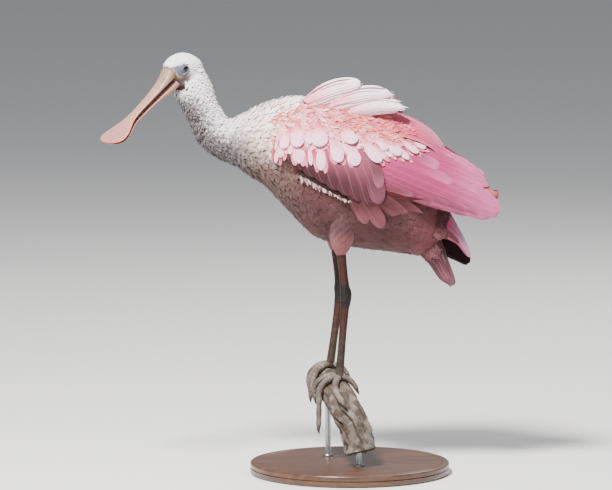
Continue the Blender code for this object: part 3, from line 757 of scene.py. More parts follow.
def drawn_on_wing(
    name, table, side, slot_name, tint_of,
    rows=13, around=8, tip=0.3, swell=0.4, foot=0.35, edge=None, **shape,
):
    """Large feathers given by root, tip, width and bow in the photograph, laid on either wing.

    A middle line goes straight from root to tip plus bow times a half sine, square to it. tint_of gives
    the colour from the feather's place in the table and the share of its length. Vane edges are the
    feather's own colour times edge.
    """
    numbers = np.array(table, float)
    share = shares_of(rows)[None]
    start, end = numbers[:, None, :2], numbers[:, None, 2:4]
    width, bow, low, high = (numbers[:, k, None] for k in range(4, 8))
    aim = unit(end - start)
    square = np.stack([-aim[..., 1], aim[..., 0]], -1)
    path = start + (end - start) * share[..., None] + square * (bow * np.sin(pi * share))[..., None]
    x, down = near_wing_place(path[..., 0], path[..., 1])
    line, normal = laid(on_wing(side), x, down, low + (high - low) * share**1.3)
    half = width * PIXEL / 2 * leaf(share, swell=swell, tip=tip, foot=foot)
    shown = tint_of(np.arange(len(numbers))[:, None] / max(1, len(numbers) - 1), share)
    places = (x[:, 0] - NEAR_WING[0][0]) / 322, down[:, 0]
    paler = None if edge is None else np.minimum(shown * edge, BRIGHTEST)[:, :, None]
    return vanes(name, places, line, normal, half, shown, slot_name, around=around, edge=paler, **shape)


# ---------------------------------------------------------------- materials


def set_inputs(tree, node, values):
    """Sets a node's inputs, by name or number, to values, or links them to sockets."""
    for key, value in values.items():
        socket = node.inputs[key.replace("_", " ") if isinstance(key, str) else key]
        if isinstance(value, bpy.types.NodeSocket):
            tree.links.new(value, socket)
        else:
            socket.default_value = value


def add(tree, kind, inputs=None, **settings):
    """The outputs of a new shader node with its settings and inputs."""
    node = tree.nodes.new(f"ShaderNode{kind}")
    for key, value in settings.items():
        setattr(node, key, value)
    set_inputs(tree, node, inputs or {})
    return node.outputs


def maths(tree, operation, *values):
    """A Math node's result."""
    return add(tree, "Math", dict(enumerate(values)), operation=operation)[0]


def times(tree, first, second):
    """A product."""
    return maths(tree, "MULTIPLY", first, second)


def remap(tree, value, low, high, start=0.0, end=1.0, **settings):
    """A value's range turned into another range."""
    return add(tree, "MapRange", {0: value, 1: low, 2: high, 3: start, 4: end}, **settings)[0]


def noise(tree, place, scale=1.0, **inputs):
    """Noise at a place."""
    return add(tree, "TexNoise", {"Vector": place, "Scale": scale, **inputs})[0]


def drawn_noise(tree, place, stretch, **inputs):
    """Noise drawn out by one factor along each axis."""
    return noise(tree, add(tree, "VectorMath", {0: place, 1: stretch}, operation="MULTIPLY")[0], **inputs)


def object_place(tree):
    """Coordinates in object space, in metres."""
    return add(tree, "TexCoord")["Object"]


def mapped(tree, name):
    """Coordinates of a UV map."""
    return add(tree, "UVMap", uv_map=name)[0]


def mark_colour(tree, name):
    """A colour mark of the mesh."""
    return add(tree, "Attribute", attribute_name=name)["Color"]


def use(tree, group, **values):
    """A node group's outputs, with its own values."""
    return add(tree, "Group", values, node_tree=group)


def mixed(tree, factor, first, second, how="MIX"):
    """A colour mix of two colours or sockets."""
    first, second = (
        value if isinstance(value, bpy.types.NodeSocket) else (*np.asarray(value, float), 1.0)
        for value in (first, second)
    )
    return add(tree, "Mix", {0: factor, 6: first, 7: second}, data_type="RGBA", blend_type=how)[2]


def mottled(tree, colour, grain, share, tone):
    """A colour darkened to a tone by a share of the grain's value."""
    return mixed(tree, times(tree, grain["Value"], share), colour, tone, "MULTIPLY")


def group_of(name, inputs, *outputs):
    """An empty node group with float inputs, given with their values, and float outputs."""
    tree = bpy.data.node_groups.new(name, "ShaderNodeTree")
    for title, value in inputs.items():
        socket = tree.interface.new_socket(title, in_out="INPUT", socket_type="NodeSocketFloat")
        socket.default_value = value
    for title in outputs:
        tree.interface.new_socket(title, in_out="OUTPUT", socket_type="NodeSocketFloat")
    return tree, tree.nodes.new("NodeGroupInput").outputs, tree.nodes.new("NodeGroupOutput")


def barbs_group():
    """Barbs of a vane: noise along lines that leave the shaft at a slant, and the shaft's own line."""
    settings = {"Lines per cm": 7.0, "Slant": 1.6, "Feather": 0.5}
    tree, given, result = group_of("barbs", settings, "Shade", "Height", "Shaft")
    parts = add(tree, "SeparateXYZ", {0: mapped(tree, "Vane")})
    aside = maths(tree, "ABSOLUTE", parts[0])
    lead = maths(tree, "SUBTRACT", parts[1], times(tree, aside, given["Slant"]))
    lines, each = times(tree, lead, given["Lines per cm"]), times(tree, given["Feather"], 37.0)
    place = add(tree, "CombineXYZ", {0: lines, 1: times(tree, aside, 0.8), 2: each})[0]
    streak = noise(tree, place, Detail=3.0, Roughness=0.65)
    shaft = remap(tree, aside, 0.0, 0.05, 1.0, 0.0, interpolation_type="SMOOTHSTEP")
    set_inputs(tree, result, {"Shade": remap(tree, streak, 0.32, 0.68), "Height": streak, "Shaft": shaft})
    return tree


def grain_group():
    """Uneven grain in object space: two sizes of noise, as a value from 0 to 1 and as a height."""
    tree, given, result = group_of("grain", {"Scale": 200.0, "Fine share": 0.5}, "Value", "Height")
    place, share = object_place(tree), given["Fine share"]
    broad = noise(tree, place, given["Scale"], Detail=4.0)
    fine = noise(tree, place, times(tree, given["Scale"], 4.3), Detail=3.0)
    broad = times(tree, broad, maths(tree, "SUBTRACT", 1.0, share))
    both = maths(tree, "ADD", broad, times(tree, fine, share))
    set_inputs(tree, result, {"Value": remap(tree, both, 0.3, 0.7), "Height": both})
    return tree


def mud_group():
    """Dried mud: patches of noise in object space, thicker below the level where the bird waded."""
    tree, given, result = group_of("mud", {"Level": 0.2, "Depth": 0.08, "Amount": 0.5}, "Mask")
    place = object_place(tree)
    below = maths(tree, "SUBTRACT", given["Level"], add(tree, "SeparateXYZ", {0: place})[2])
    below = remap(tree, maths(tree, "DIVIDE", below, given["Depth"]), -0.5, 0.5)
    patch = remap(tree, noise(tree, place, 95.0, Detail=6.0, Roughness=0.7), 0.38, 0.6)
    set_inputs(tree, result, {"Mask": times(tree, times(tree, below, patch), given["Amount"])})
    return tree


GRAIN, BARBS, MUD = grain_group(), barbs_group(), mud_group()


def material(name, finish, **constants):
    """A Principled material with constants on the shader's own sockets and links from its finish.

    A finish takes the node tree and gives sockets by the name of the shader's input. Its "Bump" is a
    height with the Bump node's distance and strength.
    """
    made = bpy.data.materials.new(name)
    made.use_nodes = True
    tree = made.node_tree
    shader = tree.nodes["Principled BSDF"]
    set_inputs(tree, shader, constants)
    sockets = finish(tree)
    if "Bump" in sockets:
        height, distance, strength = sockets.pop("Bump")
        bump = add(tree, "Bump", {"Height": height, "Distance": distance, "Strength": strength})
        sockets["Normal"] = bump[0]
    set_inputs(tree, shader, sockets)
    return made


def vane_finish(streak, lines, slant):
    """Feather vanes: the plumage mark, lightened and darkened along the barbs, paler on the shaft."""

    def finish(tree):
        colour = mark_colour(tree, "plumage")
        each = add(tree, "Attribute", attribute_name="feather")["Fac"]
        barbs = use(tree, BARBS, Lines_per_cm=lines, Slant=slant, Feather=each)
        darker = mixed(tree, 1.0, colour, tuple(1 - streak * k for k in (0.75, 1.15, 1.0)), "MULTIPLY")
        colour = mixed(tree, barbs["Shade"], darker, colour)
        grain = use(tree, GRAIN, Scale=420.0, Fine_share=0.6)
        colour = mottled(tree, colour, grain, 0.16, (0.25, 0.16, 0.16))
        colour = mixed(tree, times(tree, barbs["Shaft"], 0.07), colour, (1.0, 0.95, 0.95), "SCREEN")
        return {"Base Color": colour, "Bump": (barbs["Height"], 0.0005, 0.5)}

    return finish


def down_finish(tree):
    """The skin under the feathers: the plumage mark dulled by fluffy grain."""
    grain = use(tree, GRAIN, Scale=240.0, Fine_share=0.5)
    colour = mottled(tree, mark_colour(tree, "plumage"), grain, 0.45, (0.2, 0.12, 0.12))
    return {"Base Color": colour, "Bump": (grain["Height"], 0.0012, 0.7)}


def leg_finish(tree):
    """Bare leg and toe skin: reddish brown, greyer at the ankle and feet, with scutes and dried mud."""
    colour = mark_colour(tree, "hide")
    cell = {"Vector": mapped(tree, "Form"), "Scale": 1.0, "Randomness": 0.75}
    crack = remap(tree, add(tree, "TexVoronoi", cell, feature="DISTANCE_TO_EDGE")[0], 0.0, 0.12)
    colour = mixed(tree, crack, mixed(tree, 1.0, colour, (0.42, 0.38, 0.36), "MULTIPLY"), colour)
    grain = use(tree, GRAIN, Scale=300.0, Fine_share=0.4)
    colour = mottled(tree, colour, grain, 0.5, (0.45, 0.38, 0.34))
    mud = use(tree, MUD, Level=0.185, Depth=0.11, Amount=0.3)["Mask"]
    height = maths(tree, "ADD", times(tree, crack, 0.6), times(tree, grain["Height"], 0.5))
    return {
        "Base Color": mixed(tree, mud, colour, tint(106, 92, 82)),
        "Roughness": remap(tree, mud, 0.0, 1.0, 0.5, 0.92),
        "Bump": (height, 0.0006, 0.8),
    }


def horn_finish(roughness, spread, depth):
    """Horn: its own mark, mottled by grain, with fine pits."""

    def finish(tree):
        grain = use(tree, GRAIN, Scale=150.0, Fine_share=0.45)
        return {
            "Base Color": mottled(tree, mark_colour(tree, "hide"), grain, spread, (0.50, 0.36, 0.30)),
            "Roughness": remap(tree, grain["Value"], 0.0, 1.0, roughness - 0.08, roughness + 0.14),
            "Bump": (grain["Height"], depth, 0.6),
        }

    return finish


def eye_finish(tree):
    """A dark brown eye with a black pupil, under a clear wet coat."""
    grain = use(tree, GRAIN, Scale=900.0, Fine_share=0.5)
    return {"Base Color": mottled(tree, mark_colour(tree, "hide"), grain, 0.5, (0.3, 0.2, 0.15))}


def wood_finish(tree):
    """Weathered wood: grey fibres along the branch, darker between them, with dried mud on top."""
    mark = mark_colour(tree, "hide")
    fibre = drawn_noise(tree, mapped(tree, "Form"), (26.0, 1.6, 1.0), Detail=6.0, Roughness=0.7)
    fibre = remap(tree, fibre, 0.3, 0.7)
    colour = mixed(tree, fibre, mixed(tree, 1.0, mark, (0.36, 0.30, 0.27), "MULTIPLY"), mark)
    grain = use(tree, GRAIN, Scale=70.0, Fine_share=0.5)
    colour = mottled(tree, colour, grain, 0.45, (0.50, 0.42, 0.36))
    mud = use(tree, MUD, Level=0.2, Depth=0.2, Amount=0.2)["Mask"]
    height = maths(tree, "ADD", fibre, times(tree, grain["Height"], 0.8))
    return {"Base Color": mixed(tree, mud, colour, tint(172, 160, 146)), "Bump": (height, 0.0014, 0.9)}


def stand_finish(tree):
    """Dark stained and waxed wood, its grain running across the base."""
    stretch = (14.0, 130.0, 90.0)
    fibre = drawn_noise(tree, object_place(tree), stretch, Detail=5.0, Roughness=0.6, Distortion=0.6)
    fibre = remap(tree, fibre, 0.3, 0.7)
    return {
        "Base Color": mixed(tree, fibre, tint(52, 33, 24), tint(96, 62, 42)),
        "Roughness": remap(tree, fibre, 0.0, 1.0, 0.3, 0.48),
        "Bump": (fibre, 0.0003, 0.5),
    }


def steel_finish(tree):
    """Brushed steel rods: grain drawn out round them, in colour and roughness."""
    brush = drawn_noise(tree, object_place(tree), (90.0, 90.0, 2600.0), Detail=3.0)
    return {
        "Base Color": mixed(tree, brush, tint(140, 141, 144), tint(196, 197, 200)),
        "Roughness": remap(tree, brush, 0.2, 0.8, 0.22, 0.42),
        "Bump": (brush, 0.0001, 0.3),
    }


def paper_finish(tree):
    """Pale paper with a faint grain."""
    grain = use(tree, GRAIN, Scale=30.0, Fine_share=0.5)["Value"]
    return {"Base Color": mixed(tree, grain, (0.70, 0.70, 0.69), (0.73, 0.73, 0.72))}


VANE_SHINE = {"Roughness": 0.78, "Specular_IOR_Level": 0.18, "Sheen_Weight": 0.12, "Sheen_Roughness": 0.45}
WHITE, PINK = "white_feathers", "pink_feathers"
FEATHERS = {
    WHITE: material("white_vanes", vane_finish(0.16, 5.0, 1.4), **VANE_SHINE),
    PINK: material("pink_vanes", vane_finish(0.30, 6.0, 2.0), **VANE_SHINE),
}
DOWN = material("under_down", down_finish, Roughness=0.9, Specular_IOR_Level=0.15)
LEG_SCUTES = material("leg_scutes", leg_finish, Roughness=0.55, Specular_IOR_Level=0.25)
BILL_HORN, CLAW_HORN, FACE_SKIN = (
    material(name, horn_finish(roughness, spread, depth), Roughness=roughness, Specular_IOR_Level=0.4)
    for name, roughness, spread, depth in (
        ("bill_horn_mottled", 0.42, 0.55, 0.0004), ("claw_horn_worn", 0.45, 0.6, 0.0003),
        ("face_bare_skin", 0.6, 0.5, 0.0008),
    )
)
WET = {"Roughness": 0.3, "Specular_IOR_Level": 0.3, "Coat_Weight": 0.35, "Coat_Roughness": 0.04}
EYE = material("eye_dark", eye_finish, **WET)
WOOD = material("weathered_wood", wood_finish, Roughness=0.9, Specular_IOR_Level=0.2)
STAND = material("stained_base", stand_finish, Roughness=0.35, Coat_Weight=0.25, Coat_Roughness=0.2)
STEEL = material("brushed_steel", steel_finish, Roughness=0.3, Metallic=1.0)

# ---------------------------------------------------------------- the skin and bare parts

CLAD = ("head", "neck", "trunk", "wing", "tertials", "scapulars", "tail", "undertail", "thigh")
BARE = ("shin", "ankle", "tarsus", "foot")
FLESH = [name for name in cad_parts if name.split("_")[0] in CLAD + BARE]
FEATHERED = [name for name in FLESH if name.split("_")[0] in CLAD]
VOXEL = 0.0026
WELD, BAND_WELD = 0.00001, 0.000002


def coat_depth(points):
    """How far the skin lies inside the coat: least on the head, thin wing tips, tail and lifted scapulars."""
    x, z = points[:, 0], points[:, 2]
    depth = 2.4 + 1.8 * ease(-150, -90, x)
    depth = depth + (1.3 - depth) * ease(-185, -200, x) * ease(500, 530, z)
    thin = np.maximum(ease(85, 125, x), ease(522, 532, z) * ease(-60, -30, x))
    return depth * (1 - thin) + 0.9 * thin


def closed_skin():
    """The feathered nodes and a link from neck to skull, closed over by a voxel skin and smoothed."""
    shell = bmesh.new()
    for name in FEATHERED:
        shell.from_mesh(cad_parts[name].data)
    bmesh.ops.remove_doubles(shell, verts=shell.verts[:], dist=WELD)
    throat = body(np.linspace(-1, 0.6, 12)[:, None], circle(32)[None])
    middle = throat.mean(1, keepdims=True)
    link = ring_mesh("neck_link", (middle + (throat - middle) * 0.97)[None], {}, {})
    shell.from_mesh(link)
    bpy.data.meshes.remove(link)
    rough = bpy.data.meshes.new("skin_shell")
    shell.to_mesh(rough)
    shell.free()
    draft = linked("skin_shell", rough)
    cover = draft.modifiers.new("cover", "REMESH")
    cover.mode, cover.voxel_size, cover.use_smooth_shade = "VOXEL", VOXEL, True
    even = draft.modifiers.new("even", "SMOOTH")
    even.factor, even.iterations = 0.5, 4
    mesh = bpy.data.meshes.new_from_object(draft.evaluated_get(bpy.context.evaluated_depsgraph_get()))
    bpy.data.objects.remove(draft)
    return mesh


def skin_colour(place, normal):
    """The plumage's colour darkened as painted shade under the coat, with painted shade in the neck's gaps,
    under the wing's edge, inside the tail, below the lores and on the throat, and the skin's own colours
    on the back, the wing tips and the head.
    """
    x, y, z = place.T
    forward, _, up = head_lengths(place)
    near_head = ease(-185, -200, x) * ease(528, 540, z)
    flank = ease(30, 45, np.abs(y - MID_Y)) * ease(-95, -70, x) * ease(424, 450, z) * ease(516, 500, z)
    # painted shade: the skin inside the tail nearly black below 370 mm; the wing tips' inner skin keeps its own
    # pink
    tail = blend_of(tint(190, 104, 116), tint(34, 10, 12), ease(384, 370, z))
    # the lores' own tan, greyer and darker below as painted shade
    lores = blend_of(tint(120, 104, 98), tint(170, 146, 128), ease(-2, 7, up))
    return layered(
        # painted shade: the plumage darkened where the skin shows under the coat
        plumage(place, normal) * 0.62,
        # painted shade: dark grey skin that shows in the gaps of the ruffled neck
        (tint(104, 92, 94), ease(-120, -165, x) * 0.75),
        # painted shade: darker rose under the wing's lower edge, beneath the dark slit
        (tint(150, 52, 66), flank),
        (tail, ease(105, 130, x)),
        (tint(236, 176, 190), ease(500, 514, z) * ease(-74, -50, x)),
        (tint(196, 190, 196), near_head),
        (lores, near_head * ease(-15, -9, forward) * ease(22, 15, up)),
        # painted shade on the throat under the bill
        (tint(42, 30, 26), near_head * ease(-16, -10, forward) * ease(-9, -15, up)),
    )


def skin_piece():
    """One skin over all the feathered nodes, drawn in along its normals by the coat's depth."""
    mesh = closed_skin()
    place, normal = np.zeros((2, len(mesh.vertices) * 3), np.float32)
    mesh.vertices.foreach_get("co", place)
    mesh.vertex_normals.foreach_get("vector", normal)
    place, normal = place.reshape(-1, 3).astype(float) / MM, normal.reshape(-1, 3).astype(float)
    place = place - normal * coat_depth(place)[:, None]
    mesh.vertices.foreach_set("co", (place * MM).astype(np.float32).ravel())
    put_mark(mesh, "plumage", skin_colour(place, normal))
    mesh.update()
    mesh.materials.clear()
    return finished("spoonbill_skin", mesh, DOWN, PINK)


def branch_frame(rows):
    """Centre, and the unit axes to the bird's front and up, at row numbers of the branch line."""
    rows = np.asarray(rows)
    heading = unit(along(BRANCH, rows + 0.05) - along(BRANCH, rows - 0.05))
    front = unit(np.cross(heading, (0.0, 0.0, 1.0)))
    return along(BRANCH, rows), front, np.cross(front, heading)


def toe_path(points, hanging, count=30):
    """A toe's line over the branch, one toe radius above the wood, then straight down."""
    rows = along(points, np.linspace(0, len(points) - 1, count))
    line, front, up = branch_frame(rows[:, 0])
    angle = np.radians(rows[:, 1])[:, None]
    path = line + (np.cos(angle) * up + np.sin(angle) * front) * (BRANCH_RADIUS + TOE_RADIUS * 0.9)
    if hanging:
        drops = np.linspace(0, hanging, 2 + int(hanging / 3))[1:, None]
        path = np.vstack([path, path[-1] + drops * (-0.02, 0.0, -1.0)])
    return path


# the second colour is painted light: a paler stripe on the shin's side that faces the camera and the lamps
SHIN_BROWN, SHIN_PAINTED_LIGHT = tint(40, 13, 6), tint(64, 30, 17)
ANKLE_GREY, SHANK_TAN, TOE_GREY = tint(24, 16, 11), tint(46, 33, 26), tint(136, 126, 119)
LEG_SCUTE, TOE_SCUTE = 4.2, 2.8


def scutes(length, spacing):
    """Ridge heights of cross scutes along a line, from about -0.7 in the seams to 0.3."""
    return np.abs(np.sin(pi * length / spacing))[:, None] ** 0.5 - 0.7


def leg_piece(side):
    """A bare leg: circles from cuff to foot, swelling at the ankle, with low cross scutes in front."""
    _, cuff, ankle, foot = leg_places(side)
    down, lower = unit(ankle - cuff), unit(foot - ankle)
    path = (
        cuff - down * 14, cuff, (cuff + ankle) / 2, ankle - down * 16, ankle, ankle + lower * 17,
        (ankle + foot) / 2, foot - lower * 7, foot + lower * 3,
    )
    radii = np.array([7.5, 6.9, 6.1, 6.6, 8.4, 6.3, 5.3, 5.8, 6.2])
    table = along(np.hstack([path, radii[:, None]]), np.linspace(0, len(path) - 1, 260))
    centre, radius = table[:, :3], table[:, 3]
    rings = tube_shape(centre, radius, 28)
    length = running_length(centre)
    facing = unit(rings - centre[:, None])
    knobs = ripple(rings, 14, 5) * ease(26, 8, np.linalg.norm(rings - ankle, axis=-1))
    ridge = 0.45 * scutes(length, LEG_SCUTE) * ease(-0.2, 0.7, -facing[..., 0]) + 0.5 * knobs
    rings = rings + facing * ridge[..., None]
    knee = ease(25, 9, np.abs(length - np.linalg.norm(ankle - cuff) - 14))[:, None]
    colour = layered(
        SHIN_BROWN,
        # painted light down the side of the leg that faces the camera
        (SHIN_PAINTED_LIGHT, ease(0.55, 0.95, -facing[..., 1]) * 0.8),
        (ANKLE_GREY, knee),
        (SHANK_TAN, ease(207, 182, rings[..., 2])),
    )
    return rings, colour, (length[-1] / LEG_SCUTE, 9.0)


def toe_pieces(side):
    """The toes of a foot: tubes along their lines with a swelling at each joint and cross scutes on top."""
    for points, hanging in TOES[side].values():
        rough = toe_path(points, hanging)
        run = running_length(rough)
        length = np.linspace(0, run[-1], 150)
        path = np.stack([np.interp(length, run, rough[:, k]) for k in range(3)], -1)
        share = np.linspace(0, 1, len(path))
        radii = TOE_RADIUS * (1.05 - 0.22 * share) * (1 + 0.07 * np.cos(tau * length / 17))
        radii = radii * np.sqrt(1 - 0.6 * np.clip((share - 0.93) / 0.07, 0, 1) ** 2)
        rings = tube_shape(path, radii, 18)
        facing = unit(rings - path[:, None])
        ridge = 0.3 * scutes(length, TOE_SCUTE) * ease(-0.2, 0.5, facing[..., 2] - facing[..., 0])
        rings = rings + facing * ridge[..., None]
        yield rings, blend_of(TOE_GREY, SHANK_TAN, 0.32 + 0.4 * ripple(rings, 22, 8)), (run[-1] / 3.0, 6.0)


def legs_piece(skin):
    """The scaled legs and toes, joined into the skin's own object."""
    parts = []
    for _, side in SIDES:
        for rings, colour, form in (leg_piece(side), *toe_pieces(side)):
            name = f"leg_part_{side}_{len(parts)}"
            parts.append(ring_piece(name, rings, LEG_SCUTES, "leg_skin", colour=colour, form=form))
    with bpy.context.temp_override(active_object=skin, selected_editable_objects=[skin, *parts]):
        bpy.ops.object.join()
    return skin


def bill_colours(share, points, lower):
    """Tan at the base, pinkish grey towards the spoon, an orange pink rim, and dark where the halves meet."""
    _, aside, up = head_lengths(points)
    half = columns_at(UPPER_BILL, row_at(UPPER_BILL, share))[3] * SPOON_WIDTH / 2
    rim = ease(0.78, 1.0, np.abs(aside) / np.maximum(half, 1))
    meeting = ease(1.9, 0.2, np.abs(up - (-0.2 if lower else 0.9))) * ease(0.75, 0.5, share)
    return layered(
        tint(146, 122, 102),
        (tint(176, 138, 122), ease(0.03, 0.3, share)),
        (tint(172, 124, 126), ease(0.55, 0.85, share)),
        (tint(214, 136, 98), rim * ease(0.5, 0.75, share) * 0.9),
        (tint(160, 106, 98), 0.55 if lower else 0.0),
        (tint(70, 34, 34), meeting * 0.8),
        (tint(160, 124, 104), 0.35 * np.clip(ripple(points, 16, 21), 0, 1)),
    )


def bill_half(node, table, lower):
    """A bill half: ovals of the table, grooves beside its ridge, a nostril slit and a ribbed spoon."""
    rows, columns = 260, 72
    number = np.linspace(0, len(table) - 1, rows)[:, None]
    scaled = np.array(table) * (BILL_LENGTH, 1, 1, SPOON_WIDTH / 2)
    rings = head_oval(scaled, number, circle(columns)[None])
    share = columns_at(scaled, number)[0] / BILL_LENGTH
    outward = unit(rings - rings.mean(1, keepdims=True))
    turn = np.abs(np.mod(circle(columns) + pi, tau) - pi)[None]
    top = pi - turn if lower else turn
    crest = ease(0.0, 0.12, share) * (1 - ease(0.86, 0.97, share))
    groove = bell(top, 0.62, 0.16) * crest * ease(0.7, 0.45, share)
    nostril = bell(top, 0.5, 0.12) * bell(share, 0.135, 0.035) * (not lower)
    ribs = 0.16 * np.sin(tau * share * 34 + 3 * np.cos(turn)) * ease(0.05, 0.2, share) * ease(1.2, 0.7, top)
    dent = -0.35 * groove - 0.9 * nostril + ribs - 0.12 * np.abs(ripple(rings, 5, 17))
    rings = rings + outward * dent[..., None]
    colour = layered(
        bill_colours(share, rings, lower),
        # painted shade in the nostril slit and, on the next line, in the grooves beside the ridge
        (tint(52, 34, 28), np.clip(nostril * 1.3, 0, 1)),
        (tint(150, 112, 96), 0.5 * groove),
    )
    ring_piece(f"{node}_horn", rings, BILL_HORN, "bill_horn", node, colour, (14.0, 6.0))


def face_edge(turn):
    """Distance from the eye to the edge of the bare face skin, by angle from the front towards the crown."""
    angles = np.radians((0, 35, 70, 100, 140, 180, 215, 250, 290, 325, 360))
    reach = (13.5, 11.5, 7.4, 6.4, 5.9, 5.9, 7.2, 9.5, 11.5, 14.0, 13.5)
    return np.interp(np.mod(turn, tau), angles, reach)


def face_piece(side, name):
    """Bare skin round the eye: wrinkled rings from the lid out to the feathers, closed by an inner layer."""
    turn = circle(96)
    share = np.linspace(0, 1, 34)[:, None]
    reach = LID_RADIUS + (face_edge(turn)[None] - LID_RADIUS) * share
    forward = EYE_PLACE[0] + reach * np.cos(turn) * (1 + 0.04 * (1 - share))
    up = EYE_PLACE[2] + reach * np.sin(turn) * (1 - 0.08 * (1 - share))
    bone = skull_side(forward, up)
    lid = 3.25 * ease(8.5, 4.0, reach) + 0.45 * bell(reach, 4.5, 0.5) - 0.3 * ease(4.2, LID_RADIUS, reach)
    wrinkle = np.sin(reach * 4.2 + np.sin(turn * 3))
    out = bone + lid + 0.16 * wrinkle * ease(3.9, 5.5, reach) + 0.55 * (1 - share)
    outer, inner = (head_place(forward, side * width, up) for width in (out, bone - 2.4))
    rings = np.concatenate([inner[::-1], outer, inner[-1:]], 0)
    colour = layered(
        tint(78, 88, 106),
        (tint(98, 108, 124), ease(5, 11, reach) * ease(-0.4, 0.8, np.cos(turn))),
        (tint(160, 136, 118), ease(9.5, 13.5, reach) * ease(0.3, 0.95, np.cos(turn + 0.5))),
        # painted highlight: a pale band on the bare skin below the eye
        (tint(168, 176, 190), bell(reach, 7.2, 1.1) * ease(-0.3, -0.9, np.sin(turn))),
        (tint(86, 84, 92), ease(4.6, 4.0, reach)),
    )
    # painted shade in the troughs of the wrinkles
    colour = colour * (1 - 0.25 * ease(0.2, -0.8, wrinkle))[..., None]
    colour = np.concatenate([colour[::-1], colour, colour[-1:]], 0)
    close_band(ring_piece(f"face_{name}", rings, FACE_SKIN, "bill_horn", colour=colour, form=(6.0, 12.0)))


def close_band(piece):
    """Merges a band's last ring with its first, which is the same, so that it has no open edge."""
    shape = bmesh.new()
    shape.from_mesh(piece.data)
    caps = [face for face in shape.faces if len(face.verts) > 4]
    bmesh.ops.delete(shape, geom=caps, context="FACES_ONLY")
    bmesh.ops.remove_doubles(shape, verts=shape.verts[:], dist=BAND_WELD)
    bmesh.ops.recalc_face_normals(shape, faces=shape.faces[:])
    shape.to_mesh(piece.data)
    shape.free()


def eye_piece(side, name):
    """An eyeball: a half circle turned about the line out of the head, with a dark pupil and brown iris."""
    polar, turn = np.linspace(0.02, pi - 0.02, 40)[:, None], circle(48)[None]
    forward, out, up = EYE_PLACE
    radius = EYE_RADIUS * (1 + 0.03 * ease(0.5, 0.0, polar))
    rings = head_place(
        forward + radius * np.sin(polar) * np.cos(turn),
        side * (out + radius * np.cos(polar)),
        up + radius * np.sin(polar) * np.sin(turn),
    )
    iris = ease(0.52, 0.62, polar) * ease(1.0, 0.85, polar)
    colour = layered(tint(6, 5, 5), (tint(40, 22, 14), iris), (tint(22, 14, 12), ease(0.72, 0.9, polar)))
    ring_piece(f"eye_{name}_ball", rings, EYE, "eye", f"eye_{name}", colour)


def claw_pieces(side):
    """Claws: tubes along a curve that bends down and inwards, thinning to a point."""
    share = np.linspace(0, 1, 40)
    colour = blend_of(tint(92, 80, 70), tint(44, 38, 34), ease(0.1, 0.9, share)[:, None])
    for digit, (points, hanging) in TOES[side].items():
        path = toe_path(points, hanging)
        ahead = unit(path[-1] - path[-2])
        curl = ahead * 0.8 + np.array((0.25, 0.0, -0.5))
        bend = path[-1] + ahead * CLAW_LENGTH / 2
        line = along((path[-1] - ahead * 1.5, bend, bend + curl * CLAW_LENGTH / 2), share * 2)
        rings = tube_shape(line, 2.9 * (1 - share**1.4) + 0.25, 18)
        node = f"claw_{side}_{digit}"
        ring_piece(f"{node}_horn", rings, CLAW_HORN, "claw_horn", node, colour)


# ---------------------------------------------------------------- perch and stand

# angle round the branch, its start and end as shares of the length, width in radians, depth
CRACKS = (
    (1.35, 0.45, 0.93, 0.06, 5.5), (2.2, 0.25, 0.8, 0.05, 4.0), (0.55, 0.5, 0.98, 0.05, 4.0),
    (3.3, 0.1, 0.7, 0.06, 4.5), (4.4, 0.3, 1.0, 0.06, 5.0), (5.4, 0.05, 0.5, 0.05, 4.0),
    (1.8, 0.62, 1.0, 0.08, 5.5), (0.0, 0.6, 0.9, 0.02, 2.0),
)


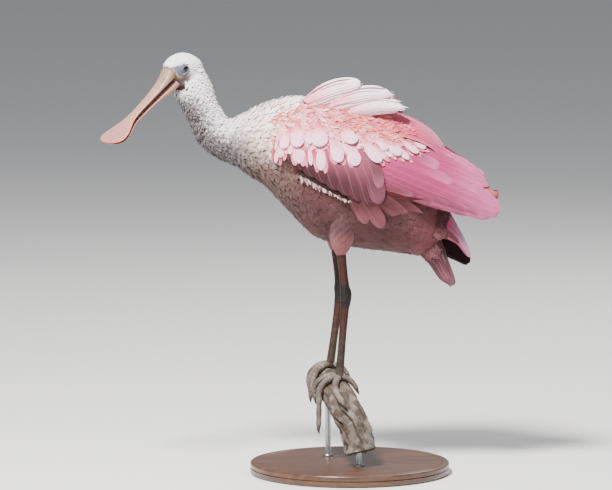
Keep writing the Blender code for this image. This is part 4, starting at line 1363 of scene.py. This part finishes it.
def perch():
    """The branch: circles along its line, drawn in by long cracks and fibres, with broken ends."""
    rows, columns, end_rows = 230, 132, 12
    line, front, up = branch_frame(np.linspace(0, len(BRANCH) - 1, rows))
    angle = circle(columns)[None]
    share = np.linspace(0, 1, rows)[:, None]
    spokes = np.cos(angle)[..., None] * up[:, None] + np.sin(angle)[..., None] * front[:, None]
    waver = 0.97 + 0.02 * np.sin(3 * angle + 4 * share) + 0.015 * np.sin(5 * angle - 9 * share)
    drift = angle + 0.35 * np.sin(5 * share + 1) + 0.12 * np.sin(17 * share)
    fibre = 0.35 * np.sin(23 * drift + 3 * np.sin(6 * share)) + 0.25 * np.sin(41 * drift + 9 * share)
    crack = np.zeros((rows, columns))
    for centre, low, high, width, depth in CRACKS:
        wander = np.angle(np.exp(1j * (drift - centre - 0.06 * np.sin(31 * share))))
        open_part = ease(low, low + 0.08, share) * ease(high, high - 0.08, share)
        crack += depth * bell(wander, 0, width) * open_part
    plain = line[:, None] + BRANCH_RADIUS * waver[..., None] * spokes
    rough = 0.9 * ripple(plain, 17, 4) + 0.45 * ripple(plain, 6, 9)
    radius = BRANCH_RADIUS * waver - 0.7 + fibre - crack + rough
    rings = line[:, None] + radius[..., None] * spokes
    heading = unit(np.gradient(line, axis=0))
    inward = np.cos(np.linspace(0.15, 1, end_rows) * pi / 2)[:, None]
    caps = []
    for index, sense, jag in ((0, -1, 2.0), (rows - 1, 1, 5.0)):
        face = line[index] + (rings[index] - line[index])[None] * np.maximum(inward, 0.015)[..., None]
        splinter = jag * (np.abs(ripple(face, 5, 12)) + 0.6 * ripple(face, 2.6, 13)) - 1.0
        push = (1 - inward) * 2.0 + splinter * (1 - inward**4)
        caps.append(face + heading[index] * (sense * push * 0.55)[..., None])
    rings = np.concatenate([caps[0][::-1], rings, caps[1]], 0)
    crack = np.pad(crack, ((end_rows, end_rows), (0, 0)))
    near_end, far_end = np.linspace(0.9, 0.2, end_rows) * 0.7, np.linspace(0.4, 1.0, end_rows)
    broken = np.concatenate([near_end, np.zeros(rows), far_end])
    bleached = ease(0.1, 0.9, ripple(rings, 22, 15) + 0.7 * ease(100, 50, rings[..., 2])) * 0.75
    colour = layered(
        tint(118, 106, 96),
        (tint(74, 63, 54), 0.5 + 0.5 * ripple(rings, 40, 6)),
        (tint(184, 178, 174), bleached),
        # painted shade in the cracks
        (tint(36, 27, 22), np.clip(crack / 1.8, 0, 1)),
        (tint(88, 68, 52), ease(0.4, 1.0, ripple(rings, 60, 31)) * 0.6),
        (tint(170, 112, 70), broken[:, None] * (0.6 + 0.4 * ripple(rings, 7, 2))),
    )
    ring_piece("perch_wood", rings, WOOD, "weathered_wood", "perch_branch", colour, (30.0, 12.0))


def turned(name, node, profile, x, y, columns, material, slot_name):
    """A piece turned about an upright axis: circles of a profile of radius and height."""
    radius, height = (np.array(column, float)[:, None] for column in zip(*profile))
    angle = circle(columns)
    rings = point(x + radius * np.cos(angle), y + radius * np.sin(angle), height)
    ring_piece(name, rings, material, slot_name, node, sharp=35)


def stand():
    """The base, with rounded edges and a turned groove, and the rods up into the branch."""
    radius, top, fillet = BASE_RADIUS, BASE_HEIGHT, 2.5
    edge = np.linspace(0, pi / 2, 9)
    low = [(radius - fillet + fillet * sin(a), fillet - fillet * cos(a)) for a in edge]
    high = [(radius - fillet + fillet * cos(a), top - fillet + fillet * sin(a)) for a in edge]
    groove = [(radius, 7.2), (radius - 1.2, 8.0), (radius, 8.8)]
    line = [(radius - 9, top), (radius - 10, top - 0.8), (radius - 11, top)]
    profile = [(0.6, 0.0), *low, *groove, *high, *line, (60, top), (0.6, top)]
    turned("base_turned", "stand_base", profile, 0, 0, 160, STAND, "stained_base")
    collar = [(7.5, 16.02), (7.5, 18.2), (6.9, 19.0), (4.15, 19.1), (ROD_RADIUS, 19.4), (ROD_RADIUS, 40)]
    for node, row in ROD_ROWS.items():
        x, y, top = along(BRANCH, row)
        profile = [*collar, (ROD_RADIUS, top - 6), (3.9, top - 5)]
        turned(f"{node}_steel", node, profile, x, y, 40, STEEL, "steel_rod")


# ---------------------------------------------------------------- the coat


def off_the_face(points):
    """True where head feathers grow: outside the bare skin round each eye, and not on the chin."""
    forward, left, up = head_lengths(points)
    ahead, above = forward - EYE_PLACE[0], up - EYE_PLACE[2]
    bare = (np.hypot(above, ahead) < face_edge(np.arctan2(above, ahead)) + 0.6) & (np.abs(left) > 8)
    return ~bare & ~((forward > -11) & (up < -4)) & ~((forward > -8) & (up < 17))


def down_the_wing(points):
    """Share from the near wing's upper edge at points."""
    return wing_share(points[..., 0], points[..., 2])


def clear_of_wings(points):
    """True on the trunk outside the area that the folded wings cover."""
    x, share = points[..., 0], down_the_wing(points)
    covered = (x > -92) & (x < 150) & (share > 0.1) & (share < 0.86) & (np.abs(points[..., 1] - MID_Y) > 22)
    return ~covered


def throat_clear(points):
    """True below the skull and off the chin, with gaps where the neck is ruffled and dark."""
    forward, _, up = head_lengths(points)
    ruffled = ease(545, 500, points[..., 2]) * ease(-170, -190, points[..., 0] - 0.4 * (points[..., 2] - 480))
    gap = ripple(points, 6, 61) < -0.75 + 0.75 * ruffled - 0.2
    return ((up < -8) | (forward < -29)) & ~((forward > -4) & (up > -17)) & ~gap


def growing(small, more, start, end):
    """A size that grows along the bird from one length to another."""
    return lambda points: small + more * ease(start, end, points[..., 0])


def one_side(side, inner, outer):
    """A range of a surface's second parameter, on one side of the bird."""
    return sorted((-side * inner, -side * outer))


def head_and_neck():
    """Short flat feathers on the head, and longer ruffled ones down the neck, thinner underneath."""

    def head_white(points):
        """White, greyer towards the chin."""
        return blend_of(CROWN, tint(196, 192, 198), ease(-2, -16, head_lengths(points)[2]) * 0.8)

    tract(
        "coat_head", ON_SKULL, (0.12, 7.92), (-pi, pi), 3100, (5.2, 2.3), WHITE, seed=2, lift=(-1.0, 0.6, 0.9),
        turn=(0, 0.2), tip=0.5, shades=(0.55, 0.14), where=off_the_face, colour=head_white, thick=0.2,
    )
    size = growing(9.0, 5.0, -215, -150), growing(3.2, 1.8, -215, -150)
    tract(
        "coat_neck", ON_BODY, (-0.75, 5.6), (-pi, pi), 4600, size, WHITE, seed=3, lift=(-2.2, 0.7, 2.0),
        turn=(0, 0.3), tip=0.5, shades=(0.4, 0.14), where=throat_clear, thick=0.25, edge=1.06,
    )


def breast_and_belly():
    """Broader feathers over the breast, belly, flanks and rump."""
    size = growing(14.0, 8.0, -150, -60), growing(5.6, 4.4, -150, -60)
    tract(
        "coat_breast", ON_BODY, (5.2, 9.6), (-pi, pi), 3000, size, WHITE, seed=4, lift=(-2.6, 0.8, 1.6),
        turn=(0, 0.2), tip=0.45, shades=(0.6, 0.14), where=clear_of_wings, edge=1.1,
    )
    tract(
        "coat_belly", ON_BODY, (9.2, 15.7), (-pi, pi), 2200, (38.0, 13.5), PINK, seed=5, lift=(-2.5, 0.9, 1.3),
        turn=(0, 0.16), tip=0.5, shades=(0.72, 0.11), where=clear_of_wings, edge=1.12,
    )

    def cuff(points):
        """The belly's colour with its painted shade, paler towards the end of the thigh."""
        return blend_of(SHADED_BELLY_MAUVE * 1.15, tint(142, 84, 86), ease(352, 326, points[..., 2]))

    for _, name in SIDES:
        tract(
            f"coat_thigh_{name}", (thigh(name), -1, 0.01), (0.0, 0.86), (-pi, pi), 1300, (19.0, 3.4), PINK,
            seed=6, lift=(0.2, 2.2, 0.4), turn=(0, 0.16), tip=0.6, shades=(0.92, 0.1), colour=cuff, rows=7,
        )


def mantle():
    """Ragged creamy feathers over the back, and thin salmon filaments between them."""
    tract(
        "coat_mantle", ON_BODY, (5.6, 11.8), (-1.25, 1.25), 2300, (20.0, 6.4), WHITE, seed=7,
        lift=(-2.5, 1.6, 3.8), turn=(0, 0.34), tip=0.5, shades=(0.66, 0.12), whiter=0.25, edge=1.12,
        where=lambda points: points[..., 2] > 470,
    )
    for side, name in SIDES:
        tract(
            f"coat_filaments_{name}", ON_BODY, (7.6, 11.4), one_side(side, 0.35, 1.25), 420, (22.0, 1.2), PINK,
            seed=8, lift=(0.5, 3.5, 4.0), turn=(-0.35 * side, 0.5), tip=0.6, shades=(0.8, 0.1), colour=SALMON,
            thick=0.25,
        )


def covert_colour(points):
    """White and pink in patches, and deep rose behind the lifted scapulars."""
    patches = blend_of(tint(250, 196, 206), tint(232, 112, 132), 0.45 + 0.55 * ripple(points, 24, 11))
    deep = blend_of(ROSE, SALMON, 0.4 + 0.4 * ripple(points, 15, 12))
    near_back = ease(0.27, 0.12, down_the_wing(points)) * ease(-60, -14, points[..., 0])
    return blend_of(patches, deep, 0.9 * near_back)


def wing_coverts(side, name):
    """Small ragged coverts along the wing's shoulder, then the petals and the broad greater coverts."""
    tract(
        f"coat_lesser_{name}", on_wing(side), (-106, 82), (-0.02, 0.5), 1000, (27.0, 5.6), PINK, seed=9,
        lift=(-0.5, 2.4, 2.6), turn=(growing(0.8, -0.5, -90, 30), 0.26), tip=0.62, shades=(0.66, 0.1),
        where=lambda points: down_the_wing(points) < 0.34 - 0.14 * ease(10, 70, points[..., 0]),
        colour=covert_colour, rows=7, whiter=0.16, edge=1.2,
    )
    tract(
        f"coat_shoulder_filaments_{name}", on_wing(side), (-100, 70), (-0.02, 0.3), 260, (20.0, 1.2), PINK,
        seed=10, lift=(1.5, 4.5, 3.0), turn=(0.3, 0.5), tip=0.6, shades=(0.85, 0.1),
        where=lambda points: down_the_wing(points) < 0.27, colour=SALMON, thick=0.25,
    )

    def petal(_, share):
        """Rose at the root, pale pink, then nearly white."""
        return layered(PETAL_ROOT, (PETAL, ease(0.05, 0.6, share)), (CROWN, 0.25 * ease(0.6, 1.0, share)))

    def rosy(number, share):
        """Rose, paler at the tip, by an amount that differs from feather to feather."""
        banded = 0.4 + 0.6 * np.abs(np.sin(40 * number))
        return blend_of(ROSE, tint(236, 150, 172), ease(0.4, 1.0, share) * banded)

    def covert(number, share):
        """Mauve, darker down the vane as painted shade along the wing's lower edge, with paler tips on the last
        coverts.
        """
        return layered(
            COVERT,
            # painted shade towards the wing's lower edge
            (tint(48, 23, 23), ease(0.25, 0.85, share) * (1 - 0.25 * number)),
            (tint(172, 114, 128), ease(0.8, 1, number) * ease(0.6, 1, share) * 0.6),
        )

    under = [
        (x0 + dx, y0 + 3, x1 + dx, y1 + dy, width * 0.6, bow, 1, 3)
        for x0, y0, x1, y1, width, bow, *_ in PETALS
        for dx, dy in ((4, 3), (-4, 2))
    ]
    drawn_on_wing(
        f"coat_petals_{name}", PETALS, side, PINK, petal, rows=16, around=12, swell=0.8, foot=0.32, thick=0.5,
        arch=0.16,
    )
    drawn_on_wing(f"coat_under_petals_{name}", under, side, PINK, rosy, rows=9, around=6, thick=0.3)
    drawn_on_wing(
        f"coat_greater_{name}", GREATER_COVERTS, side, PINK, covert, rows=18, around=12, tip=0.22, swell=0.25,
        foot=0.6, thick=0.6, arch=0.08, edge=1.2,
    )


def fringe_table(count=110):
    """Short pale feathers in a row under the greater coverts, each placed by chance, in photo pixels."""
    chance = np.random.default_rng(41)
    spot = np.sort(chance.uniform(0, 1, count))
    x, y = 298 + 59 * spot, 175.6 + 27.5 * spot + chance.uniform(-0.7, 0.7, count)
    tip_x = x + chance.uniform(0.4, 3.2, count)
    tip_y = y + chance.uniform(3.5, 7.5, count) * (1 - 0.3 * spot)
    width, level = chance.uniform(0.7, 1.4, count), 0 * spot
    return np.stack([x, y, tip_x, tip_y, width, level, level, chance.uniform(0.2, 1.6, count)], -1)


def flight_feathers(side, name):
    """The long flight feathers, each over the one below, and the pale fringe and a dark strip of painted shadow
    over them.
    """
    dusky = 0.8 if side == RIGHT else 0.0

    def pink(number, share):
        """Deep pink, darker on the lower feathers as painted shade, paler at the tip, and dusky there on the
        far wing.
        """
        return layered(
            FLIGHT_PINK,
            (tint(196, 106, 150), ease(0.5, 1.0, share) * 0.8),
            (tint(178, 60, 96), ease(0.35, 0.0, share) * 0.7),
            # painted shade on the lowest flight feathers
            (tint(116, 54, 70), ease(0.46, 0.1, number) * (0.9 - 0.35 * ease(0.8, 1.0, share))),
            (DUSK, ease(0.8, 1.0, share) * dusky),
        )

    def cream(number, share):
        """Maroon at the root and cream beyond, by an amount that differs from feather to feather."""
        banded = 0.52 + 0.48 * np.sin(90 * number)
        return blend_of(tint(92, 40, 42), tint(216, 196, 190), ease(-0.3, 0.5, share) * banded)

    def dark(number, _):
        """Maroon painted shadow, a little lighter under the flight feathers."""
        return blend_of(SHADOW_MAROON, tint(78, 26, 30), ease(0.5, 0.75, number))

    def mauve(_, share):
        """Dark mauve, lighter towards the tip."""
        return blend_of(tint(72, 34, 38), tint(136, 80, 88), ease(0.2, 0.95, share))

    drawn_on_wing(
        f"coat_flight_{name}", FLIGHT, side, PINK, pink, rows=26, around=12, tip=0.12, swell=0.12, foot=0.7,
        thick=0.5, arch=0.07, edge=1.35, under=tint(160, 74, 92),
    )
    drawn_on_wing(f"coat_fringe_{name}", fringe_table(), side, WHITE, cream, rows=7, around=4)
    # painted shadow under the wing's lower edge
    drawn_on_wing(f"coat_painted_shadow_{name}", SHADOW_STRIPS_UNDER_COVERTS, side, PINK, dark, rows=8, around=6)
    drawn_on_wing(f"coat_flank_{name}", FLANK_PETALS, side, PINK, mauve, around=10, thick=0.5, edge=1.3)


def scapular_feathers(side, name):
    """The lifted scapulars: vanes on both faces of each blade, and a fold of vanes below its outer edge.

    A vane's middle line is the blade's bowed middle line plus an offset across the blade, or for the
    fold an offset down from the outer edge, which grows from the root and shrinks towards the tip.
    """
    sign, rows = -side, 14
    drop = FAR_SCAPULAR_DROP if side == RIGHT else 0.0
    share = shares_of(rows)
    chance = np.random.default_rng(51)
    pale = blend_of(tint(240, 150, 166), tint(254, 238, 246), ease(0.05, 0.5, share))
    rosy = blend_of(tint(226, 116, 132), tint(250, 222, 234), ease(0.08, 0.6, share))
    lines, normals, halves, shades, places = [], [], [], [], []
    for number, (x0, out0, z0, x1, out1, z1, width, bow) in enumerate(SCAPULARS):
        root, tip = point((x0, x1), MID_Y + sign * np.array((out0, out1)), np.array((z0, z1)) - drop)
        # upper face, lower face and fold, each with its number of vanes and share of the blade's width
        for face, count, breadth in ((1.0, 7, 0.22), (-1.0, 5, 0.2), (0.0, 8, 0.15)):
            for index in range(count):
                order = index / (count - 1)
                offset = (order * 2 - 1) * 0.74
                reach = 1.0 - 0.10 * abs(offset) - 0.10 * chance.uniform() - (0.1 if face < 0 else 0)
                begin = 0.02 + 0.22 * chance.uniform()
                at = begin + (reach - begin) * share
                middle = root + (tip - root) * at[:, None]
                middle[:, 2] += bow * np.sin(pi * at)
                narrowing = 1 - 0.45 * at**2
                if face:
                    heading = unit(np.gradient(middle, axis=0))
                    level = np.array((0.0, 1.0, 0.35 * sign))
                    across = unit(level - heading * (heading @ level)[:, None])
                    facing = np.cross(heading, across) * face
                    rise = 1.6 + 1.1 * index / count + 1.2 * at
                    fan = width / 2 * offset * narrowing
                    middle = middle + across * fan[:, None] + facing * rise[:, None]
                    shade = pale if face > 0 else rosy
                else:
                    hang = 0.35 + 0.65 * np.sin(pi * np.clip(at * 0.9 + 0.1, 0, 1))
                    fall = order * FOLD_DEPTH[number] * hang
                    edge = sign * (width * 0.40 * narrowing + 3.0 * np.sin(pi * order) + 1.5 - 0.15 * index)
                    middle = middle + point(0.0, edge, 0.30 * np.abs(edge) + 2.0 - fall)
                    facing = np.broadcast_to(unit(np.array((0.0, sign, 0.75 - 0.1 * index))), middle.shape)
                    shade = blend_of(pale, tint(244, 190, 208), np.full(rows, 0.5 * index / count))
                lines.append(middle)
                normals.append(facing)
                halves.append(width * breadth * leaf(share, swell=0.3, tip=0.24, foot=0.4))
                shades.append(shade)
                places.append((number / 3 + 0.1, (index + (0 if face > 0 else 0.5)) / 7))
    lines, normals, halves, shades = (np.array(values) for values in (lines, normals, halves, shades))
    vanes(
        f"coat_scapulars_{name}", zip(*places), lines, normals, halves, shades, PINK,
        around=10, thick=0.45, arch=0.1,
    )


def wisps(side, name):
    """Thin white wisps that stream back from the lifted scapulars."""
    # root x, y, tip x, y and width in photo pixels
    table = np.array([(362, 99, 401, 102.5, 1.8), (366, 102, 408, 108.7, 1.9), (358, 104, 398, 106.5, 1.2)])
    x0, y0, x1, y1, width = table.T[..., None]
    share = shares_of(12)[None]
    order = np.arange(len(table))[:, None]
    out = 34 + 1.2 * order
    z = photo_z(y0 + (y1 - y0) * share - (2.0 - order) * np.sin(pi * share), MID_Y - out)
    drop = FAR_SCAPULAR_DROP if side == RIGHT else 0.0
    line = point(photo_x(x0 + (x1 - x0) * share), MID_Y - side * out, z - drop)
    half = width * PIXEL / 2 * leaf(share, tip=0.5)
    normal = unit(np.array((0.0, -side * 0.8, 0.6)))
    places = x0 / PHOTO_WIDTH, y0 / PHOTO_WIDTH
    vanes(f"coat_wisps_{name}", places, line, normal, half, tint(250, 240, 246), WHITE, around=6)


def tertial_feathers(side, name):
    """Long tertials down each side of the dome, from the edge up to the middle, each over the one below."""
    order = np.linspace(0, 1, 8)[:, None]
    share = shares_of(18)[None]
    begin, end = 0.15 + 0.5 * order, 5.2 + 0.75 * np.sin(pi * (0.15 + 0.8 * order))
    across = -side * (0.98 - 0.93 * order) * (1 - 0.12 * share)
    line, normal = laid(ON_DOME, begin + (end - begin) * share, across, 0.4 + 2.2 * order + 2.0 * share)
    half = 8.2 * leaf(share, swell=0.2, tip=0.16, foot=0.6)
    shade = blend_of(tint(176, 48, 84), tint(204, 88, 128), ease(0.25, 0.95, share) * (0.55 + 0.45 * order))
    vanes(
        f"coat_tertials_{name}", (0.1, order), line, normal, half, shade, PINK,
        around=10, thick=0.5, arch=0.1, edge=tint(228, 138, 170), under=tint(170, 60, 84),
    )

    def fuzz(points):
        """Two pinks in patches."""
        return blend_of(tint(190, 50, 72), tint(224, 116, 134), 0.5 + 0.5 * ripple(points, 18, 13))

    tract(
        f"coat_rump_{name}", ON_DOME, (0.02, 2.6), one_side(side, 0.2, 1.0), 420, (15.0, 4.6), PINK, seed=14,
        lift=(0.5, 2.6, 2.4), turn=(0.25 * side, 0.35), tip=0.5, shades=(0.7, 0.1), colour=fuzz,
    )


def tail_feathers(table, side, name, count):
    """Tail feathers side by side down a tail half, with maroon painted shade on their inner faces and a lilac
    outer edge.
    """
    order = (np.arange(count)[:, None] + 0.5) / count
    share = shares_of(18)[None]
    row = (4.55 + 0.4 * np.cos(pi * (order - 0.4))) * share
    line, normal = laid(on_tail(table, side), row, order, 0.3 + 0.9 * (1 - order))
    x0, z0, x1, z1, *_ = columns_at(table, row)
    half = np.maximum(np.hypot(x0 - x1, z0 - z1) / count * 0.75, 2.2)
    half = half * leaf(share, swell=0.1, tip=0.14, foot=0.8)
    lilac = ease(0.35, 0.7, share) * ease(0.8, 0.1, order)
    shade = layered(tint(128, 48, 70), (TAIL_PINK, ease(0.1, 0.4, share)), (LILAC, lilac))
    vanes(
        f"coat_tail_{name}", (0.1, order), line, normal, half, shade, PINK,
        # the lower faces carry maroon painted shade
        around=10, thick=0.6, arch=0.06, under=SHADOW_MAROON,
    )


def tail_coverts(table, side, name):
    """Soft coverts over a tail half's root."""
    tract(
        f"coat_tail_root_{name}", on_tail(table, side), (-0.02, 0.7), (0.0, 1.0), 110, (26.0, 9.0), PINK,
        seed=15, lift=(0.5, 2.2, 1.8), turn=(0, 0.15), tip=0.5, shades=(0.95, 0.2), rows=7, edge=1.25,
    )


def undertail_feathers():
    """Long narrow coverts round the undertail bundle, staggered towards its tip, and short ones at the vent."""
    count = 34
    order = np.arange(count)[:, None]
    share = shares_of(15)[None]
    begin = np.mod(order * 0.618, 1) * 2.0
    row = np.minimum(begin + (2.6 + np.mod(order * 0.381, 1) * 0.6) * share + 0.15, 4.95)
    angle = order * tau / count + 0.25 * share * np.sin(order * 1.7)
    line, normal = laid(ON_UNDERTAIL, row, angle, 0.2 + 0.8 * share)
    half = (3.1 - 0.25 * row) * leaf(share, swell=0.2, tip=0.3, foot=0.5)
    shade = blend_of(tint(52, 26, 30), tint(104, 64, 74), ease(0.3, 0.9, share))
    shade = shade * (0.85 + 0.3 * np.mod(order * 0.77, 1))[..., None]
    vanes(
        "coat_undertail", (begin / 3, order / count), line, normal, half, shade, PINK, around=6, thick=0.5,
        arch=0.14, edge=tint(138, 92, 104),
    )
    tract(
        "coat_vent", ON_UNDERTAIL, (-0.05, 0.7), (-pi, pi), 120, (26.0, 5.0), PINK, seed=16,
        lift=(0.4, 1.6, 1.4), turn=(0, 0.12), tip=0.6, shades=(0.9, 0.2), rows=8, edge=1.3,
    )


def build_bird():
    """Makes every piece of the bird."""
    skin = legs_piece(skin_piece())
    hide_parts(*FLESH)
    bill_half("bill_upper", UPPER_BILL, False)
    bill_half("bill_lower", LOWER_BILL, True)
    head_and_neck()
    breast_and_belly()
    mantle()
    for side, name in SIDES:
        face_piece(side, name)
        eye_piece(side, name)
        claw_pieces(name)
        wing_coverts(side, name)
        flight_feathers(side, name)
        scapular_feathers(side, name)
        wisps(side, name)
        tertial_feathers(side, name)
    halves = ((NEAR_TAIL, LEFT, "near", 5), (FAR_TAIL, RIGHT, "far", 6))
    for table, side, name, count in halves:
        tail_feathers(table, side, name, count)
    for table, side, name, _ in halves:
        tail_coverts(table, side, name)
    undertail_feathers()


# ---------------------------------------------------------------- floor, light and camera

# the point in the middle of the picture and the camera's distance from it, in metres
VIEW_CENTRE = (-0.0616, -0.004, 0.3222)
VIEW_DISTANCE = 6.0


def studio():
    """A pale floor, three soft lights, a pale world, and the camera at the photograph's angle."""
    reach, level = 40.0, -0.0006
    mesh = bpy.data.meshes.new("floor")
    corners = [(x * reach, y * reach, level) for x, y in ((-1, -1), (1, -1), (1, 1), (-1, 1))]
    mesh.from_pydata(corners, [], [(0, 1, 2, 3)])
    mesh.materials.append(material("floor_paper", paper_finish, Roughness=0.9, Specular_IOR_Level=0.2))
    linked("floor", mesh)

    world = bpy.data.worlds.new("studio")
    world.use_nodes = True
    sky = world.node_tree.nodes["Background"]
    sky.inputs[0].default_value, sky.inputs[1].default_value = (0.88, 0.92, 1.0, 1), 0.36
    bpy.context.scene.world = world
    aim = np.array((-0.03, -0.02, 0.40))
    for name, place, power, size, colour in (
        ("key", (-0.9, -1.7, 2.8), 380.0, 0.6, (1.0, 0.97, 0.93)),
        ("fill", (1.6, -3.0, 1.3), 8.0, 2.2, (0.97, 0.98, 1.0)),
        ("rim", (1.2, 2.0, 2.4), 60.0, 1.2, (1.0, 0.98, 0.96)),
    ):
        lamp = bpy.data.lights.new(name, "AREA")
        lamp.energy, lamp.size, lamp.color = power, size, colour
        light = linked(name, lamp)
        light.location = place
        light.rotation_euler = Vector(aim - np.array(place)).to_track_quat("-Z", "Y").to_euler()

    lens = bpy.data.cameras.new("photo_view")
    lens.sensor_width, lens.lens = 36.0, 252.0
    lens.clip_start, lens.clip_end = 0.1, 60.0
    camera = linked("photo_view", lens)
    x, y, z = VIEW_CENTRE
    camera.location = (x, y - VIEW_DISTANCE * cos(TILT), z + VIEW_DISTANCE * sin(TILT))
    camera.rotation_euler = (pi / 2 - TILT, 0.0, 0.0)
    bpy.context.scene.camera = camera


build_bird()
perch()
stand()
studio()
